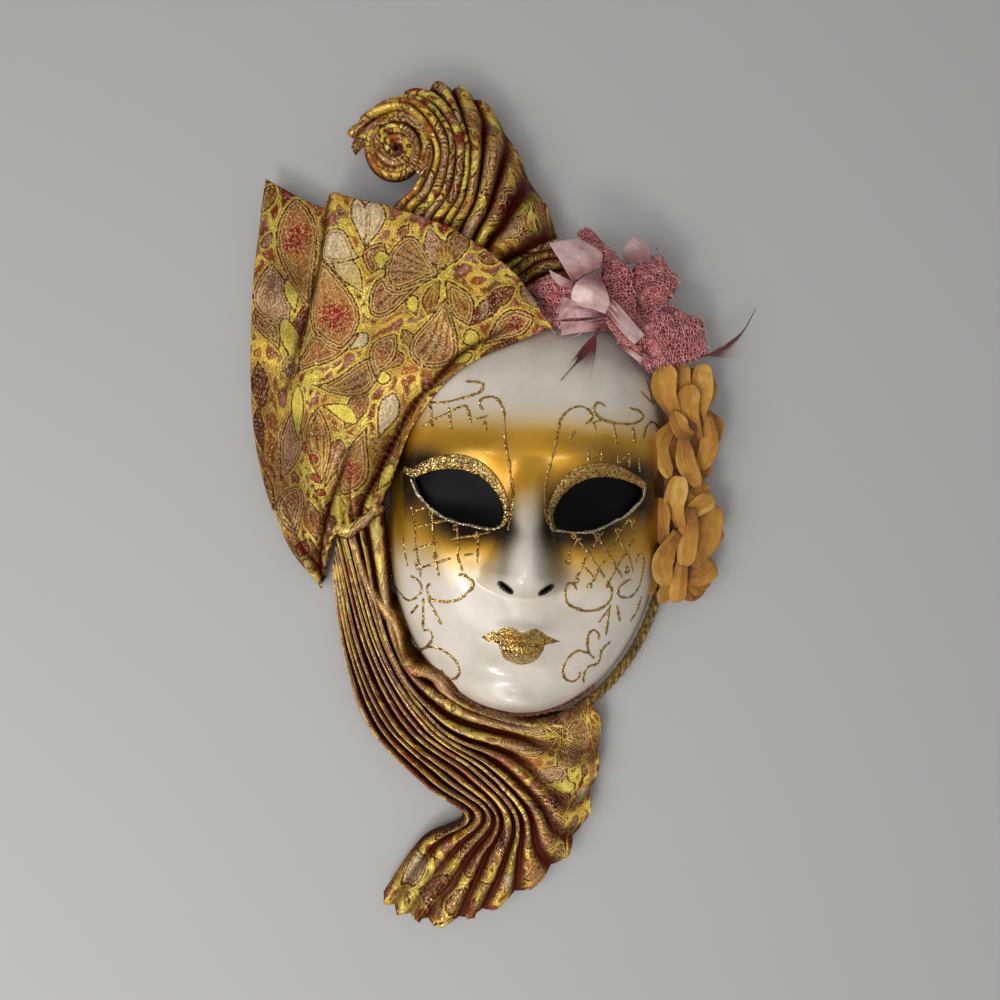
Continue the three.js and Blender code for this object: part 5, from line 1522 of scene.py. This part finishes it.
def twisted(spec):
    """Strands wound round a curve along the rim: circles of radius fatness at the distance
    radius - fatness from the curve, turning once in each lay length."""
    angle = np.radians(np.linspace(spec["from"], spec["to"], spec["steps"]))
    x, y = rim_point(angle, 1 + (spec["out"] + spec["radius"]) / FACE["half_width"])
    path = np.stack([x, y, np.full_like(x, spec["height"])], -1)
    _, side, up = frame_along(path)
    length = lengths(path)
    ring = np.linspace(0, 2 * np.pi, spec["sides"], endpoint=False)
    fatness, reach = spec["fatness"], spec["radius"] - spec["fatness"]
    wound = []
    for n in range(spec["strands"]):
        turn = 2 * np.pi * (length / spec["lay"] + n / spec["strands"])
        core = path + reach * (side * np.cos(turn)[:, None] + up * np.sin(turn)[:, None])
        spin = (ring[None, :] + turn[:, None])[..., None]
        points = core[:, None] + fatness * (side[:, None] * np.cos(spin) + up[:, None] * np.sin(spin))
        uv = np.stack(np.broadcast_arrays(ring[None, :] * fatness, length[:, None]), -1)
        wound.append(surface(points, closed=True, uv=uv))
    return joined(wound)


def cord_thread(name, dark, pale, metallic):
    """Twisted yarn: fine slanting threads, with painted shade where they dip, and a metallic glint."""
    material, shader, add = new_material(name)
    uv = add("UVMap", {}, uv_map="UVMap")
    parts = add("SeparateXYZ", {0: uv})
    slant = add("Math", {0: parts.outputs[0], 1: 0.9, 2: parts.outputs[1]}, operation="MULTIPLY_ADD")
    wave = add("Math", {0: slant, 1: 2 * math.pi / 0.9}, operation="MULTIPLY")
    thread = add("Math", {0: wave}, operation="SINE")
    cloud = add("TexNoise", {"Vector": in_millimetres(add), "Scale": 1 / 2.5, "Detail": 3.0})
    # Painted shade: the tone darkens where each thread dips.
    shade = add("Math", {0: thread, 1: 0.16, 2: cloud}, operation="MULTIPLY_ADD")
    tone = add("ValToRGB", {"Fac": shade}, stops=[(0.3, dark), (0.72, pale)])
    bump = add("Bump", {"Height": thread, "Strength": 0.6, "Distance": 0.0003})
    put(shader, {"Base Color": tone, "Metallic": metallic, "Roughness": 0.42, "Normal": bump})
    return material


def feather(line, width, barbs, sides, draw):
    """Quill with thin curved barbs to its sides, each a tapering blade that leans to the tip, and
    shorter towards it."""
    s = np.linspace(0, 1, 40)
    quill = spline(line, s)
    run, side, up = frame_along(quill)
    ring = np.linspace(0, 2 * np.pi, 6, endpoint=False)[None, :, None]
    round_quill = side[:, None] * np.cos(ring) + up[:, None] * np.sin(ring)
    stem = quill[:, None] + (0.7 - 0.5 * s)[:, None, None] * round_quill
    blades = [surface(stem, closed=True)]
    w = np.linspace(0, 1, 7)[:, None]
    for k in range(barbs):
        place = 0.12 + 0.86 * (k + draw.uniform(-0.4, 0.4)) / barbs
        root, ahead, out = (
            np.array([np.interp(place, s, axis[:, i]) for i in range(3)]) for axis in (quill, run, side))
        reach = width * draw.uniform(0.75, 1.2) * (1.1 - place) ** 2.5
        curve = root + ahead * reach * (0.9 * w + 0.5 * w ** 2)
        curve = curve + out * sides[k % len(sides)] * reach * 0.5 * (w - 0.25 * w ** 2)
        curve = curve + np.array([0, 0, 1]) * draw.uniform(-0.8, 0.8) * w ** 2
        thin = 0.36 * (1 - 0.8 * w)
        blades.append(surface(np.stack([curve - ahead * thin, curve + ahead * thin], 1)))
    return joined(blades)


def feather_barb():
    """Dyed feather: dark red, silky along its barbs."""
    material, shader, add = new_material("dark red feather")
    cloud = add("TexNoise", {"Vector": in_millimetres(add), "Scale": 1 / 4, "Detail": 3.0})
    tone = add("ValToRGB", {"Fac": cloud}, stops=[(0.3, "#300a06"), (0.7, "#6c1a10")])
    put(shader, {"Base Color": tone, "Roughness": 0.5, "Sheen Weight": 0.08})
    return material


def build_trim():
    """Gilt cord, chin piping and the two feathers."""
    gilt = cord_thread("gilt cord", "#261406", "#b48e40", 0.35)
    add_piece("twisted_cord", twisted(CORD), [gilt], ["gilt_cord"])
    dark = cord_thread("dark piping", "#341010", "#8c5638", 0.1)
    add_piece("chin_piping", twisted(PIPING), [dark], ["edge_piping"])
    draw = np.random.default_rng(44)
    barb = feather_barb()
    for name, shape in FEATHERS.items():
        add_piece(name + "_barbs", feather(*shape, draw), [barb], [name])


def build_floor():
    """Plain pale floor, well past the picture's edges."""
    material, shader, _ = new_material("pale floor")
    put(shader, {"Base Color": "#acaaa8", "Roughness": 0.85})
    mesh = bpy.data.meshes.new("floor")
    corners = [(x * FLOOR["reach"], y * FLOOR["reach"], 0) for x, y in ((-1, -1), (1, -1), (1, 1), (-1, 1))]
    mesh.from_pydata(corners, [], [(0, 1, 2, 3)])
    mesh.materials.append(material)
    floor = bpy.data.objects.new("floor", mesh)
    floor.location.z = -FLOOR["drop"]
    bpy.context.scene.collection.objects.link(floor)


def build_lights():
    """Soft window light from the left, a weak fill from the other side, a low light before the mask,
    a small one over it, and a pale surround."""
    for name, (place, size, watts) in LIGHTS.items():
        lamp = bpy.data.lights.new(name, "AREA")
        lamp.energy = watts
        lamp.shape = "RECTANGLE"
        lamp.size, lamp.size_y = size
        light = bpy.data.objects.new(name, lamp)
        light.location = place
        tilt = math.acos(place[2] / math.hypot(*place))
        light.rotation_euler = (tilt, 0, math.atan2(place[0], -place[1]))
        bpy.context.scene.collection.objects.link(light)
    world = bpy.data.worlds.new("surround")
    world.use_nodes = True
    put(world.node_tree.nodes["Background"], {"Color": (0.97, 0.97, 0.95, 1), "Strength": 0.33})
    bpy.context.scene.world = world


def build_camera():
    """Camera straight above, at the photograph's framing."""
    lens = bpy.data.cameras.new("camera")
    lens.sensor_width = CAMERA["sensor"]
    lens.lens = CAMERA["sensor"] * CAMERA["height"] / CAMERA["view"]
    camera = bpy.data.objects.new("camera", lens)
    camera.location = np.array([CAMERA["x"], CAMERA["y"], CAMERA["height"]]) * MM + SHIFT
    camera.rotation_euler = (0, 0, math.radians(CAMERA["turn"]))
    bpy.context.scene.collection.objects.link(camera)
    bpy.context.scene.camera = camera


build_camera()
build_face()
build_openings()
build_brocade()
build_glitterwork()
build_flowers()
build_trim()
build_floor()
build_lights()
bpy.context.scene.view_settings.view_transform = "Standard"
